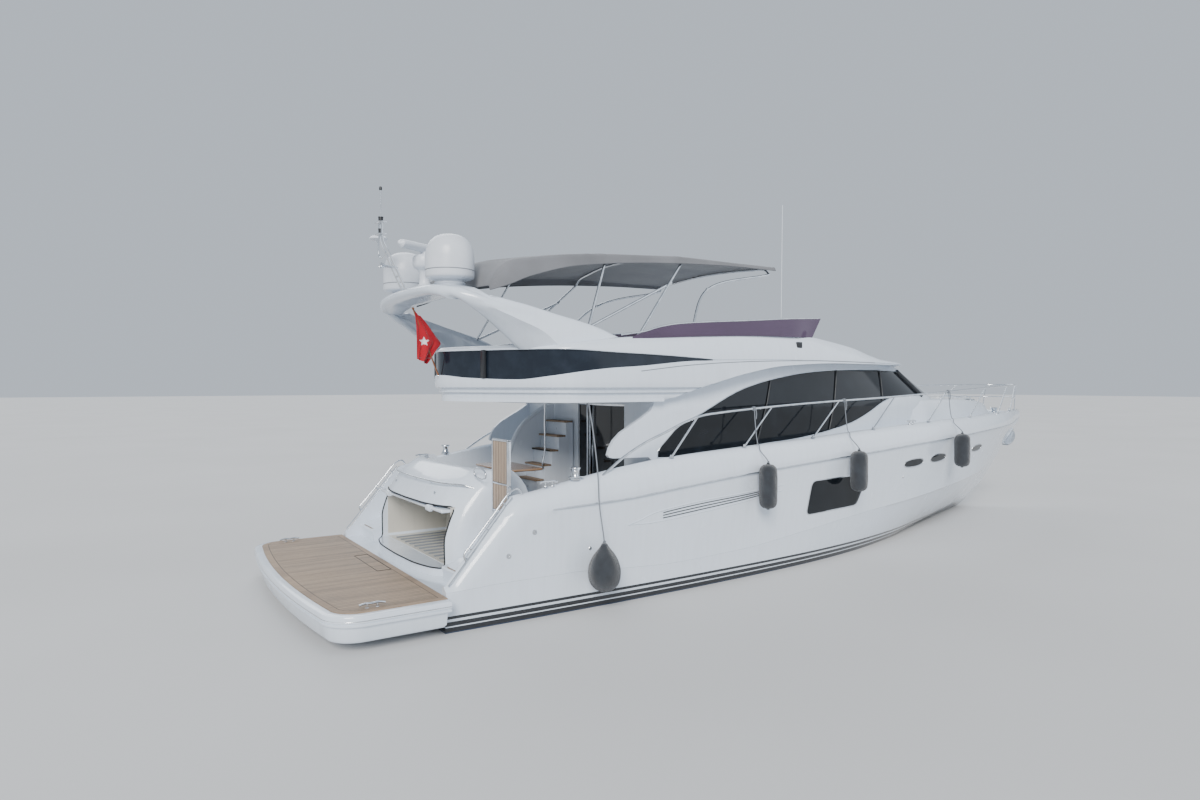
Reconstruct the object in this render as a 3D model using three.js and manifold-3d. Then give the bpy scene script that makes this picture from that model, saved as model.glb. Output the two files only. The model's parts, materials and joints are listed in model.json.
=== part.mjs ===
// Flybridge motor yacht, 18.6 m over its swim platform, afloat at its own waterline.
// Millimetres. +X to the bow, +Y to port, +Z up. Origin amidships on the waterline.

import * as THREE from 'three';
import { mergeVertices } from 'three/addons/utils/BufferGeometryUtils.js';
import Module from 'manifold-3d';

const wasm = await Module();
wasm.setup();

// Driving dimensions
const GAP = 0.3;
const BOW_X = 9300;
const STERN_X = -9300;
const TRANSOM_X = -7750;
const HALF_BEAM = 2435;

const PLATFORM_TOP = 450;
const PLATFORM_BOTTOM = 130;
const TEAK = 12;
const COCKPIT_SOLE = 1000;
const SALOON_SOLE = 1150;
const DOOR_SILL = 1090;
const COCKPIT_FORE_X = -4420;
const BENCH_FORE_X = -6200;
const WELL_HALF_WIDTH = 2130;
const BLOCK_HALF_WIDTH = 1480;
const STAIR_HALF_WIDTH = 2120;

const HOUSE_AFT_X = -4400;
const HOUSE_WALL = 60;
const FLY_SOLE = 3100;
const FLY_BOTTOM = 2740;

const ARCH_TOP = 4370;
const DOME_RADIUS = 335;
const SHAFT_Y = 780;

// Materials
const paint = (color, roughness, metalness = 0) =>
  new THREE.MeshStandardMaterial({ color, roughness, metalness });
const GELCOAT = 0xe9eef3;
const TEAK_WOOD = 0x8c7258;
const STEEL = 0xc9ccd0;
const BLACK_GLASS = 0x0c0f13;
const BRONZE = 0x9a7a4a;
const CUSHION = 0xe4e2dc;

const yacht = new THREE.Group();

function addNode(name, geometry, material) {
  const mesh = new THREE.Mesh(geometry, material);
  mesh.name = name;
  yacht.add(mesh);
  return mesh;
}

// Solids

function toSolid(geometry) {
  const bare = geometry.clone();
  bare.deleteAttribute('normal');
  bare.deleteAttribute('uv');
  const merged = mergeVertices(bare, 1e-3);
  return new wasm.Manifold(new wasm.Mesh({
    numProp: 3,
    vertProperties: Float32Array.from(merged.attributes.position.array),
    triVerts: Uint32Array.from(merged.index.array),
  }));
}

function toGeometry(solid) {
  const mesh = solid.getMesh();
  const geometry = new THREE.BufferGeometry();
  geometry.setAttribute('position', new THREE.BufferAttribute(mesh.vertProperties, 3));
  geometry.setIndex(new THREE.BufferAttribute(mesh.triVerts, 1));
  return geometry;
}

function join(geometries) {
  return toGeometry(geometries.map(toSolid).reduce((whole, next) => whole.add(next)));
}

function cut(geometry, tools) {
  return toGeometry(tools.map(toSolid).reduce((whole, tool) => whole.subtract(tool), toSolid(geometry)));
}

function common(first, second) {
  return toGeometry(toSolid(first).intersect(toSolid(second)));
}

function moved(geometry, x, y, z) {
  return geometry.clone().translate(x, y, z);
}

// The piece with its underside shaped to lie a gap above its carrier.
function seated(geometry, carrier) {
  return cut(geometry, [carrier, moved(carrier, 0, 0, GAP)]);
}

// The piece cut a gap clear of its neighbours on every side.
function clearOf(geometry, neighbours) {
  const shifts = [[GAP, 0, 0], [-GAP, 0, 0], [0, GAP, 0], [0, -GAP, 0], [0, 0, GAP], [0, 0, -GAP]];
  return cut(geometry, neighbours.flatMap((n) => [n, ...shifts.map((s) => moved(n, ...s))]));
}

function mirrored(geometry) {
  const copy = geometry.index ? geometry.toNonIndexed() : geometry.clone();
  copy.scale(1, -1, 1);
  const p = copy.attributes.position;
  for (let i = 0; i < p.count; i += 3) {
    const [x, y, z] = [p.getX(i), p.getY(i), p.getZ(i)];
    p.setXYZ(i, p.getX(i + 2), p.getY(i + 2), p.getZ(i + 2));
    p.setXYZ(i + 2, x, y, z);
  }
  copy.deleteAttribute('normal');
  return mergeVertices(copy, 1e-3);
}

function block(x0, x1, y0, y1, z0, z1) {
  return new THREE.BoxGeometry(x1 - x0, y1 - y0, z1 - z0)
    .translate((x0 + x1) / 2, (y0 + y1) / 2, (z0 + z1) / 2);
}

function outline(points) {
  return new THREE.Shape(points.map(([a, b]) => new THREE.Vector2(a, b)));
}

// A side profile in X and Z, as thick as the range of Y.
function slab(points, y0, y1) {
  return new THREE.ExtrudeGeometry(outline(points), { depth: y1 - y0, bevelEnabled: false })
    .rotateX(Math.PI / 2)
    .translate(0, y1, 0);
}

// A plan outline in X and Y, as tall as the range of Z.
function plate(points, z0, z1) {
  return new THREE.ExtrudeGeometry(outline(points), { depth: z1 - z0, bevelEnabled: false })
    .translate(0, 0, z0);
}

function tube(points, radius, sides = 4, steps = 0) {
  const path = new THREE.CatmullRomCurve3(points.map((p) => new THREE.Vector3(...p)), false, 'centripetal');
  const section = new THREE.Shape().absarc(0, 0, radius, 0, 2 * Math.PI);
  return new THREE.ExtrudeGeometry(section, {
    steps: steps || (points.length - 1) * (points.length > 2 ? 4 : 1),
    curveSegments: sides,
    bevelEnabled: false,
    extrudePath: path,
  });
}

function turned(profile, sides = 20) {
  return new THREE.LatheGeometry(profile.map(([r, z]) => new THREE.Vector2(r, z)), sides)
    .rotateX(Math.PI / 2);
}

// The outline drawn in by the same distance all round.
function drawnIn(points, distance) {
  const count = points.length;
  const at = (i) => points[(i + count) % count];
  const area = points.reduce((sum, [a, b], i) => sum + a * at(i + 1)[1] - at(i + 1)[0] * b, 0);
  const side = Math.sign(area) * distance;
  const normal = ([a0, b0], [a1, b1]) => {
    const length = Math.hypot(a1 - a0, b1 - b0);
    return [-(b1 - b0) / length, (a1 - a0) / length];
  };
  return points.map(([a, b], i) => {
    const [p, q] = [normal(at(i - 1), at(i)), normal(at(i), at(i + 1))];
    const scale = side / (1 + p[0] * q[0] + p[1] * q[1]);
    return [a + (p[0] + q[0]) * scale, b + (p[1] + q[1]) * scale];
  });
}

// Skins a row of equal rings and closes both ends with a fan about the ring's middle.
function loft(rings) {
  const count = rings[0].length;
  const middle = (ring) => [0, 1, 2].map((k) => ring.reduce((sum, p) => sum + p[k], 0) / count);
  const last = (rings.length - 1) * count;
  const foot = rings.length * count;
  const positions = Float32Array.from([...rings.flat(2), ...middle(rings[0]), ...middle(rings.at(-1))]);
  const indices = [];
  for (let i = 0; i < count; i += 1) {
    const j = (i + 1) % count;
    for (let r = 0; r < rings.length - 1; r += 1) {
      const [a, b] = [r * count + i, r * count + j];
      indices.push(a, b, b + count, a, b + count, a + count);
    }
    indices.push(j, i, foot, last + i, last + j, foot + 1);
  }
  if (volume(positions, indices) < 0) {
    for (let i = 0; i < indices.length; i += 3) {
      [indices[i], indices[i + 1]] = [indices[i + 1], indices[i]];
    }
  }
  const geometry = new THREE.BufferGeometry();
  geometry.setAttribute('position', new THREE.BufferAttribute(positions, 3));
  geometry.setIndex(indices);
  return geometry;
}

function volume(positions, indices) {
  let sum = 0;
  const [a, b, c] = [new THREE.Vector3(), new THREE.Vector3(), new THREE.Vector3()];
  for (let i = 0; i < indices.length; i += 3) {
    a.fromArray(positions, indices[i] * 3);
    b.fromArray(positions, indices[i + 1] * 3);
    c.fromArray(positions, indices[i + 2] * 3);
    sum += a.dot(b.cross(c));
  }
  return sum;
}

// Hull

const STATIONS = [
  // x, keel z, foot y, chine y, chine z, knuckle y, knuckle z, gunwale y, gunwale z
  [-7750, -640, 2205, 2265, 500, 2330, 1340, 2290, 1480],
  [-6900, -680, 2230, 2290, 530, 2360, 1350, 2320, 1570],
  [-6000, -710, 2245, 2305, 530, 2390, 1395, 2350, 1730],
  [-5200, -735, 2250, 2312, 480, 2410, 1430, 2370, 1860],
  [-4300, -755, 2240, 2310, 440, 2425, 1510, 2385, 1960],
  [-3000, -780, 2195, 2292, 470, 2435, 1620, 2395, 2040],
  [-1500, -800, 2095, 2265, 600, 2435, 1720, 2395, 2115],
  [0, -795, 1892, 2200, 740, 2428, 1810, 2385, 2205],
  [1500, -755, 1567, 2090, 840, 2385, 1900, 2345, 2280],
  [3000, -640, 1160, 1870, 935, 2225, 1965, 2190, 2325],
  [4500, -420, 857, 1530, 1025, 1935, 2020, 1905, 2350],
  [5700, -170, 650, 1160, 1105, 1600, 2045, 1580, 2365],
  [6700, 90, 437, 780, 1190, 1225, 2060, 1215, 2365],
  [7500, 680, 258, 460, 1290, 865, 2070, 865, 2355],
  [8200, 1260, 118, 210, 1500, 525, 2080, 535, 2335],
  [8750, 1660, 48, 85, 1800, 265, 2085, 290, 2305],
  [9120, 1920, 17, 30, 2000, 105, 2090, 135, 2260],
  [BOW_X, 2040, 7, 12, 2070, 30, 2110, 50, 2215],
];
// The side turns into the bottom at its foot, under water aft and up the stem forward.
const FOOT_Z = -120;
const FOOT_RISE = 0.45;
const BOTTOM_FULLNESS = { aft: 0.68, fore: 0.5 };
const TOE_RAIL = 150;
const DECK_CAMBER = 60;

function column(name) {
  return ['x', 'keelZ', 'footY', 'chineY', 'chineZ', 'knuckleY', 'knuckleZ', 'gunwaleY', 'gunwaleZ']
    .indexOf(name);
}

// One column of the stations at any x.
function hullAt(name, x) {
  const k = column(name);
  const after = STATIONS.findIndex((s) => s[0] >= x);
  if (after <= 0) return STATIONS[after === 0 ? 0 : STATIONS.length - 1][k];
  const [a, b] = [STATIONS[after - 1], STATIONS[after]];
  return a[k] + (b[k] - a[k]) * (x - a[0]) / (b[0] - a[0]);
}

const rimAt = (gunwaleY) => Math.min(90, gunwaleY / 2);

function symmetric(x, foot, half, head) {
  return [
    [x, 0, foot],
    ...half.map(([y, z]) => [x, y, z]),
    [x, 0, head],
    ...half.map(([y, z]) => [x, -y, z]).reverse(),
  ];
}

function hullRing([x, keelZ, footY, chineY, chineZ, knuckleY, knuckleZ, gunwaleY, gunwaleZ]) {
  const rim = rimAt(gunwaleY);
  const footZ = Math.max(FOOT_Z, keelZ + (chineZ - keelZ) * FOOT_RISE);
  return symmetric(x, keelZ, [
    [footY / 2, keelZ + (footZ - keelZ) * (footZ > FOOT_Z ? BOTTOM_FULLNESS.fore : BOTTOM_FULLNESS.aft)],
    [footY, footZ],
    [chineY, chineZ],
    [chineY + (knuckleY - chineY) * 0.42, chineZ + (knuckleZ - chineZ) * 0.5],
    [knuckleY, knuckleZ],
    [knuckleY - rim * 0.2, knuckleZ + 25],
    [gunwaleY, gunwaleZ - 35],
    [gunwaleY - rim * 0.3, gunwaleZ],
  ], gunwaleZ);
}

// The space above the deck and inside the toe rail.
function deckRing(station) {
  const x = station[0];
  const [gunwaleY, gunwaleZ] = station.slice(-2);
  const rim = rimAt(gunwaleY);
  const crown = DECK_CAMBER * gunwaleY / HALF_BEAM;
  const edge = gunwaleY - rim * 1.1;
  return symmetric(x, gunwaleZ - TOE_RAIL + crown, [
    [edge * 0.5, gunwaleZ - TOE_RAIL + crown * 0.75],
    [edge, gunwaleZ - TOE_RAIL],
    [gunwaleY - rim, gunwaleZ + 200],
  ], gunwaleZ + 201);
}

const SALOON_WELL = { x0: -4300, x1: 1200, halfWidth: 1780 };
const GARAGE = { x1: -6300, halfWidth: 1380, z0: 560, z1: 1360 };
const wedge = [[-8200, 560], [TRANSOM_X + 40, 560], [-6840, 1575], [-6840, 2600], [-8200, 2600]];

const RUDDER = { x: -7330, z1: -545, z0: -1180, stock: 35, seat: -520, boss: -280 };
const rudderBoss = (sign) => moved(
  turned([[0, RUDDER.seat], [70, RUDDER.seat], [95, RUDDER.boss], [0, RUDDER.boss]], 20),
  RUDDER.x, sign * SHAFT_Y, 0,
);

const hullBody = cut(join([loft(STATIONS.map(hullRing)), rudderBoss(-1), rudderBoss(1)]), [
  loft(STATIONS.slice(0, -1).map(deckRing)),
  slab(wedge, -2600, 2600),
  block(-7900, BENCH_FORE_X, -STAIR_HALF_WIDTH, STAIR_HALF_WIDTH, PLATFORM_TOP, 2600),
  block(BENCH_FORE_X - 1, COCKPIT_FORE_X, -WELL_HALF_WIDTH, WELL_HALF_WIDTH, COCKPIT_SOLE, 2600),
  block(SALOON_WELL.x0, SALOON_WELL.x1, -SALOON_WELL.halfWidth, SALOON_WELL.halfWidth, SALOON_SOLE, 2600),
  block(COCKPIT_FORE_X - 10, SALOON_WELL.x0 + 20, -1900, 1900, DOOR_SILL, 2600),
]);
addNode('hull', hullBody, paint(GELCOAT, 0.18));

// Swim platform

function roundedPlan(x0, x1, halfWidth, radius, bulge) {
  const points = [[x1, -halfWidth]];
  const corner = (cx, cy, from) => {
    for (let i = 0; i <= 6; i += 1) {
      const angle = from + (i / 6) * (Math.PI / 2);
      points.push([cx + radius * Math.cos(angle), cy + radius * Math.sin(angle)]);
    }
  };
  points.reverse();
  corner(x0 + bulge + radius, halfWidth - radius, Math.PI / 2);
  for (let i = 1; i < 8; i += 1) {
    const y = (halfWidth - radius) * (1 - i / 4);
    points.push([x0 + bulge * (y / (halfWidth - radius)) ** 2, y]);
  }
  corner(x0 + bulge + radius, -halfWidth + radius, Math.PI);
  return [[x1, halfWidth], ...points.slice(1), [x1, -halfWidth]];
}

const platformPlan = roundedPlan(STERN_X, TRANSOM_X - GAP, HALF_BEAM, 420, 130);
const platformInner = roundedPlan(STERN_X + 60, TRANSOM_X - GAP, HALF_BEAM - 60, 370, 130);
const teakPlan = roundedPlan(STERN_X + 110, TRANSOM_X - 20, HALF_BEAM - 110, 330, 130);
addNode('swim_platform', join([
  plate(platformPlan, PLATFORM_TOP - 110, PLATFORM_TOP),
  plate(platformInner, PLATFORM_BOTTOM, PLATFORM_TOP - 100),
]), paint(GELCOAT, 0.2));
addNode('platform_teak', plate(teakPlan, PLATFORM_TOP + GAP, PLATFORM_TOP + TEAK), paint(TEAK_WOOD, 0.75));

// Transom block with the garage under the aft bench

const BLOCK_AFT_X = -7620;
const BENCH_SEAT = 1440;
const BENCH_BACK = 1830;
const blockProfile = [
  [BLOCK_AFT_X, PLATFORM_TOP + GAP], [BLOCK_AFT_X - 10, 900], [-7480, 1340], [-7250, 1640],
  [-6990, BENCH_BACK], [-6880, BENCH_BACK], [-6800, BENCH_SEAT], [BENCH_FORE_X, BENCH_SEAT],
  [BENCH_FORE_X, PLATFORM_TOP + GAP],
];
const blockPlan = [
  [BENCH_FORE_X, -BLOCK_HALF_WIDTH], [BENCH_FORE_X, BLOCK_HALF_WIDTH], [-7150, BLOCK_HALF_WIDTH],
  [-7400, 1330], [-7560, 1050], [-7640, 600], [-7660, 0],
  [-7640, -600], [-7560, -1050], [-7400, -1330], [-7150, -BLOCK_HALF_WIDTH],
];
addNode('transom_block', cut(
  common(slab(blockProfile, -1600, 1600), plate(blockPlan, 400, 2000)),
  [block(-8000, GARAGE.x1, -GARAGE.halfWidth + 80, GARAGE.halfWidth - 80, GARAGE.z0, GARAGE.z1)],
), paint(GELCOAT, 0.2));

// The garage door stands open, swung up under the garage's ceiling.
const DOOR_THICK = 40;
const DOOR_LENGTH = 740;
const doorHinge = { x: -7420, z: 1310 };
const knuckle = (y) => new THREE.CylinderGeometry(
  GARAGE.z1 - doorHinge.z - GAP, GARAGE.z1 - doorHinge.z - GAP, 110, 24,
).translate(doorHinge.x, y, doorHinge.z);
addNode('garage_door', join([knuckle(-850), knuckle(850), block(
  doorHinge.x, doorHinge.x + DOOR_LENGTH, -GARAGE.halfWidth + 95, GARAGE.halfWidth - 95,
  doorHinge.z - DOOR_THICK / 2, doorHinge.z + DOOR_THICK / 2,
)]), paint(GELCOAT, 0.25));

// Transom stairs, from the platform to the cockpit on both sides

const STAIR_TREADS = [
  // aft x, tread z
  [-7500, 640],
  [-7180, 830],
  [-6860, COCKPIT_SOLE],
];
const stairProfile = [[BENCH_FORE_X - GAP, PLATFORM_TOP + GAP], [STAIR_TREADS[0][0], PLATFORM_TOP + GAP]];
STAIR_TREADS.forEach(([x, z], i) => {
  stairProfile.push([x, z]);
  stairProfile.push([i < 2 ? STAIR_TREADS[i + 1][0] : BENCH_FORE_X - GAP, z]);
});
const stair = slab(stairProfile, BLOCK_HALF_WIDTH + GAP, STAIR_HALF_WIDTH - GAP);
addNode('stern_steps_port', stair, paint(GELCOAT, 0.2));
addNode('stern_steps_starboard', mirrored(stair), paint(GELCOAT, 0.2));

// Cockpit

// Stairs to the flybridge, to port of the saloon door: a stepped block beside a side wall; the teak stops round it
const FLY_STAIR = { aftX: -5270, foreX: -4422, y0: 280, y1: 920, run: 140, rises: 7, nosing: 25 };
const STAIR_WALL_THICKNESS = 60;
const STAIR_WALL_FOOT_X = -5340;
const STAIR_MARGIN = 10;
const teakStairX = STAIR_WALL_FOOT_X - STAIR_MARGIN;
const teakStairY0 = FLY_STAIR.y0 - STAIR_MARGIN;
const teakStairY1 = FLY_STAIR.y1 + STAIR_WALL_THICKNESS + STAIR_MARGIN;
addNode('cockpit_teak', plate([
  [BENCH_FORE_X + 20, -2080], [COCKPIT_FORE_X - 20, -2080],
  [COCKPIT_FORE_X - 20, teakStairY0], [teakStairX, teakStairY0],
  [teakStairX, teakStairY1], [COCKPIT_FORE_X - 20, teakStairY1],
  [COCKPIT_FORE_X - 20, 2080], [BENCH_FORE_X + 20, 2080],
], COCKPIT_SOLE + GAP, COCKPIT_SOLE + TEAK), paint(TEAK_WOOD, 0.75));

addNode('cockpit_bench_seat', block(-6770, -6230, -1400, 1400, BENCH_SEAT + GAP, BENCH_SEAT + 110),
  paint(CUSHION, 0.8));

const TABLE_TOP = 1720;
addNode('cockpit_table', join([
  plate([[-6020, -620], [-5560, -620], [-5480, -520], [-5480, 520], [-5560, 620], [-6020, 620],
    [-6100, 520], [-6100, -520]], TABLE_TOP - 40, TABLE_TOP),
  block(-5850, -5730, -60, 60, COCKPIT_SOLE + TEAK + GAP, TABLE_TOP - 35),
  block(-5980, -5600, -180, 180, COCKPIT_SOLE + TEAK + GAP, COCKPIT_SOLE + TEAK + 30),
]), paint(0xa06a3c, 0.35));

const flyStairRise = (FLY_BOTTOM - 60 - COCKPIT_SOLE) / FLY_STAIR.rises;
const flyStairFoot = COCKPIT_SOLE + GAP;
const flyStairProfile = [[FLY_STAIR.foreX, flyStairFoot], [FLY_STAIR.aftX, flyStairFoot]];
for (let i = 0; i < FLY_STAIR.rises - 1; i += 1) {
  const x = FLY_STAIR.aftX + FLY_STAIR.run * i;
  const z = COCKPIT_SOLE + flyStairRise * (i + 0.75);
  flyStairProfile.push([x, z - 35], [x - FLY_STAIR.nosing, z - 35], [x - FLY_STAIR.nosing, z]);
  flyStairProfile.push([Math.min(x + FLY_STAIR.run, FLY_STAIR.foreX), z]);
}
const STAIR_WALL = [
  [FLY_STAIR.foreX, flyStairFoot], [STAIR_WALL_FOOT_X, flyStairFoot], [-5345, 1500], [-5290, 1860],
  [-5200, 2100], [-5030, 2330], [-4760, 2530], [-4520, 2660], [FLY_STAIR.foreX, 2700],
];
addNode('flybridge_stairs', join([
  slab(flyStairProfile, FLY_STAIR.y0, FLY_STAIR.y1 + STAIR_WALL_THICKNESS / 2),
  slab(STAIR_WALL, FLY_STAIR.y1, FLY_STAIR.y1 + STAIR_WALL_THICKNESS),
]), paint(GELCOAT, 0.25));

// Passerelle, folded upright on its socket at the head of the starboard stairs
const PASSERELLE = { x: -6830, width: 470, length: 950, thick: 60, hinge: 1340, y: -1865 };
addNode('passerelle_socket', join([
  block(PASSERELLE.x - 40, PASSERELLE.x + 40, PASSERELLE.y - 120, PASSERELLE.y + 120,
    COCKPIT_SOLE + GAP, COCKPIT_SOLE + 15),
  block(PASSERELLE.x - 25, PASSERELLE.x + 25, PASSERELLE.y - 40, PASSERELLE.y + 40,
    COCKPIT_SOLE + 5, PASSERELLE.hinge - PASSERELLE.thick / 2 - GAP),
]), paint(STEEL, 0.2, 0.9));
const hingeRoll = new THREE.CylinderGeometry(
  PASSERELLE.thick / 2, PASSERELLE.thick / 2, PASSERELLE.width, 16,
).translate(PASSERELLE.x, PASSERELLE.y, PASSERELLE.hinge);
addNode('passerelle', join([hingeRoll, block(
  PASSERELLE.x - PASSERELLE.thick / 2, PASSERELLE.x + PASSERELLE.thick / 2,
  PASSERELLE.y - PASSERELLE.width / 2, PASSERELLE.y + PASSERELLE.width / 2,
  PASSERELLE.hinge, PASSERELLE.hinge + PASSERELLE.length,
)]), paint(TEAK_WOOD, 0.7));

// Deckhouse

const HOUSE_EXPONENT = 2.4;
const HOUSE_LEVELS = [
  // z, side half width, front x
  [1500, 1960, 4600],
  [2700, 1950, 4400],
  [3350, 1860, 3050],
];
const HOUSE_TURN_X = -1500;

function housePlan(halfWidth, frontX, inset) {
  const side = [];
  const steps = 12;
  for (let i = 0; i <= steps; i += 1) {
    const angle = (i / steps) * (Math.PI / 2);
    const x = HOUSE_TURN_X + (frontX - inset - HOUSE_TURN_X) * Math.sin(angle) ** (2 / HOUSE_EXPONENT);
    const y = (halfWidth - inset) * Math.cos(angle) ** (2 / HOUSE_EXPONENT);
    side.push([x, i === steps ? 0 : y]);
  }
  const aft = HOUSE_AFT_X + Math.min(inset, HOUSE_WALL);
  const port = [[aft, halfWidth - inset], ...side];
  return [...port, ...port.slice(0, -1).map(([x, y]) => [x, -y]).reverse()];
}

function houseBody(inset, bottom = 0, top = 0) {
  const levels = HOUSE_LEVELS.map(([z, halfWidth, frontX], i) => {
    const level = z + (i === 0 ? bottom : 0) + (i === 2 ? top : 0);
    return housePlan(halfWidth, frontX, inset).map(([x, y]) => [x, y, level]);
  });
  return loft(levels);
}

const GLASS_OUTLINE = [
  [-4335, 1922], [-4335, 2016], [-4290, 2070], [-4130, 2210], [-3990, 2335], [-3760, 2450], [-3470, 2565],
  [-3090, 2740], [-2680, 2900], [-2230, 3020], [-1770, 3110], [-1220, 3190], [-510, 3245],
  [400, 3270], [1300, 3270], [2050, 3250], [2750, 2770], [1500, 2755], [1070, 2670],
  [640, 2500], [130, 2330], [-730, 2170], [-1410, 2085], [-2090, 2040], [-2500, 2010],
  [-3270, 1955], [-4120, 1915],
];
const WINDSCREEN_SPAN = [[2160, 3240], [5000, 3240], [5000, 2790], [2850, 2790]];

const sideCutStarboard = slab(GLASS_OUTLINE, -2200, -500);
const sideCutPort = slab(GLASS_OUTLINE, 500, 2200);
const frontCut = slab(WINDSCREEN_SPAN, -2200, 2200);

// The side walls run on aft as a swept wing over the cockpit's bulwark.
const WING = [
  [-4390, 2740], [-4450, 2620], [-4800, 2420], [-4990, 2320], [-5110, 2210], [-5180, 2100],
  [-5220, 1990], [-5150, 1965], [-4500, 1960], [-4390, 2020],
];

// Flybridge: half of its plan, its side profile, and the well inside its coaming
const FLY_PLAN = [
  [-6940, 120], [-6800, 520], [-6580, 1000], [-6350, 1500], [-6110, 1900], [-5850, 2100], [-5500, 2150],
  [-1500, 2150], [-300, 2120], [600, 2020], [1400, 1820], [2000, 1560], [2500, 1210], [2850, 830],
  [3080, 420], [3150, 0],
];
const FLY_LOWER = [
  [-7000, 2790], [-6440, FLY_BOTTOM], [-4400, 2760],
  [-3600, 2960], [-2740, 3160], [-1880, 3290], [-500, 3350], [3200, 3352],
];
const FLY_UPPER = [
  [3200, 3385], [2400, 3410], [1060, 3450], [570, 3515], [0, 3650], [-720, 3755], [-1180, 3805],
  [-2410, 3810], [-3890, 3745], [-5010, 3670], [-6200, 3550], [-7000, 3550],
];
const FLY_WELL = [
  [-6780, 120], [-6640, 520], [-6430, 980], [-6190, 1400], [-5960, 1700], [-5700, 1850], [-5450, 1890],
  [-4800, 1890], [-4500, 2010], [-3700, 2010], [-3000, 1740], [-1400, 1740], [-700, 1600],
  [-300, 1200], [-200, 0],
];
const FLY_LIP = { z: 3080, overhang: 110 };
const STAIR_HATCH = { x0: -5560, x1: -4420, y0: 240, y1: 1000 };

const bothSides = (half) => [
  ...half.map(([x, y]) => [x, -y]),
  ...half.slice(0, -1).reverse(),
];
const flyOuter = common(
  slab([...FLY_LOWER, ...FLY_UPPER], -2300, 2300),
  join([
    plate(bothSides(FLY_PLAN), FLY_LIP.z, 4000),
    plate(drawnIn(bothSides(FLY_PLAN), FLY_LIP.overhang), 2500, FLY_LIP.z + 10),
  ]),
);
const flySole = plate([
  [-4380, -1760], [-300, -1760], [600, -1500], [900, 0], [600, 1500], [-300, 1760], [-4380, 1760],
], FLY_SOLE - 90, 3360);
const flyWell = bothSides(FLY_WELL);
const flybridge = cut(join([flyOuter, flySole]), [
  plate(flyWell, FLY_SOLE, 4000),
  block(STAIR_HATCH.x0, STAIR_HATCH.x1, STAIR_HATCH.y0, STAIR_HATCH.y1, 2600, 3300),
]);
addNode('flybridge', flybridge, paint(GELCOAT, 0.18));

// House walls, cut for the glass and trimmed to the hull below and the flybridge above

const DOORWAY = { y0: -1200, y1: 150, z1: 2690 };
const houseShell = cut(houseBody(0), [houseBody(HOUSE_WALL, -10, 10)]);
const wing = slab(WING, 1895, 1955);
const openings = [sideCutStarboard, sideCutPort, frontCut];
const aftFrame = block(HOUSE_AFT_X, HOUSE_AFT_X + HOUSE_WALL, -1940, 1940, DOOR_SILL - 40, 3200);
const doorway = block(HOUSE_AFT_X - 10, HOUSE_AFT_X + 100, DOORWAY.y0, DOORWAY.y1, 900, DOORWAY.z1);
const houseOpened = cut(join([houseShell, wing, mirrored(wing), aftFrame]), [
  ...openings, doorway, plate(flyWell, FLY_SOLE - 90, 4000),
]);
const paneShell = cut(houseBody(12), [houseBody(24, -10, 10)]);
const glass = paint(BLACK_GLASS, 0.06);
const panes = {
  side_glass_starboard: slab(drawnIn(GLASS_OUTLINE, GAP), -2200, -500),
  side_glass_port: slab(drawnIn(GLASS_OUTLINE, GAP), 500, 2200),
  windscreen: slab(drawnIn(WINDSCREEN_SPAN, GAP), -2200, 2200),
};
Object.entries(panes).forEach(([name, span]) => {
  addNode(name, cut(common(paneShell, span), [flybridge, moved(flybridge, 0, 0, -GAP)]), glass);
});
const house = clearOf(houseOpened, [hullBody, flybridge]);
addNode('deckhouse', house, paint(GELCOAT, 0.18));

// The sliding door closes the opening in the aft frame from inside.
addNode('saloon_door', block(
  HOUSE_AFT_X + 68, HOUSE_AFT_X + 108, DOORWAY.y0 - 40, DOORWAY.y0 + 1050, DOOR_SILL + GAP, DOORWAY.z1 + 30,
), glass);

// Foredeck

const COACHROOF = [
  // x, half width at the foot, half width at the top, top z
  [2000, 1680, 1560, 2690],
  [3000, 1620, 1480, 2690],
  [4000, 1480, 1330, 2685],
  [5000, 1260, 1090, 2660],
  [6000, 960, 780, 2610],
  [6800, 640, 470, 2540],
  [7350, 330, 200, 2440],
];
const coachroofBody = loft(COACHROOF.map(([x, foot, top, z]) => symmetric(x, 2000, [
  [foot, 2010], [(foot + top) / 2 + 20, z - 120], [top, z - 25], [top - 60, z],
], z + 18)));
const coachroof = cut(seated(coachroofBody, hullBody), [houseBody(-1)]);
addNode('coachroof', coachroof, paint(GELCOAT, 0.2));
addNode('foredeck_pad', seated(
  plate([[4500, -760], [6050, -520], [6050, 520], [4500, 760]], 2600, 2760),
  coachroof,
), paint(CUSHION, 0.85));

// Radar arch, lofted across the boat from one foot over the top to the other

const ARCH_STATIONS = [
  // aft x, y, z, middle x, y, z, fore x, y, z
  [-6380, 1445, 3500, -5950, 1880, 3520, -4930, 1960, 3600],
  [-6670, 1470, 3740, -6200, 1830, 3740, -5320, 1930, 3780],
  [-6950, 1470, 3950, -6600, 1740, 3930, -5960, 1870, 3930],
  [-7200, 1440, 4110, -6950, 1620, 4080, -6540, 1780, 4070],
  [-7380, 1330, 4200, -7200, 1440, 4195, -6920, 1560, 4190],
  [-7480, 1050, 4270, -7210, 1075, 4280, -6930, 1100, 4285],
  [-7520, 500, 4305, -7210, 500, 4310, -6900, 500, 4310],
];
const ARCH_THICK = 130;
const archPort = ARCH_STATIONS.map((row) => [0, 3, 6].map((k) => new THREE.Vector3(...row.slice(k, k + 3))));
const acrossBoat = (p) => new THREE.Vector3(p.x, -p.y, p.z);
const archRow = [...archPort, ...archPort.map((row) => row.map(acrossBoat)).reverse()];
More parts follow.
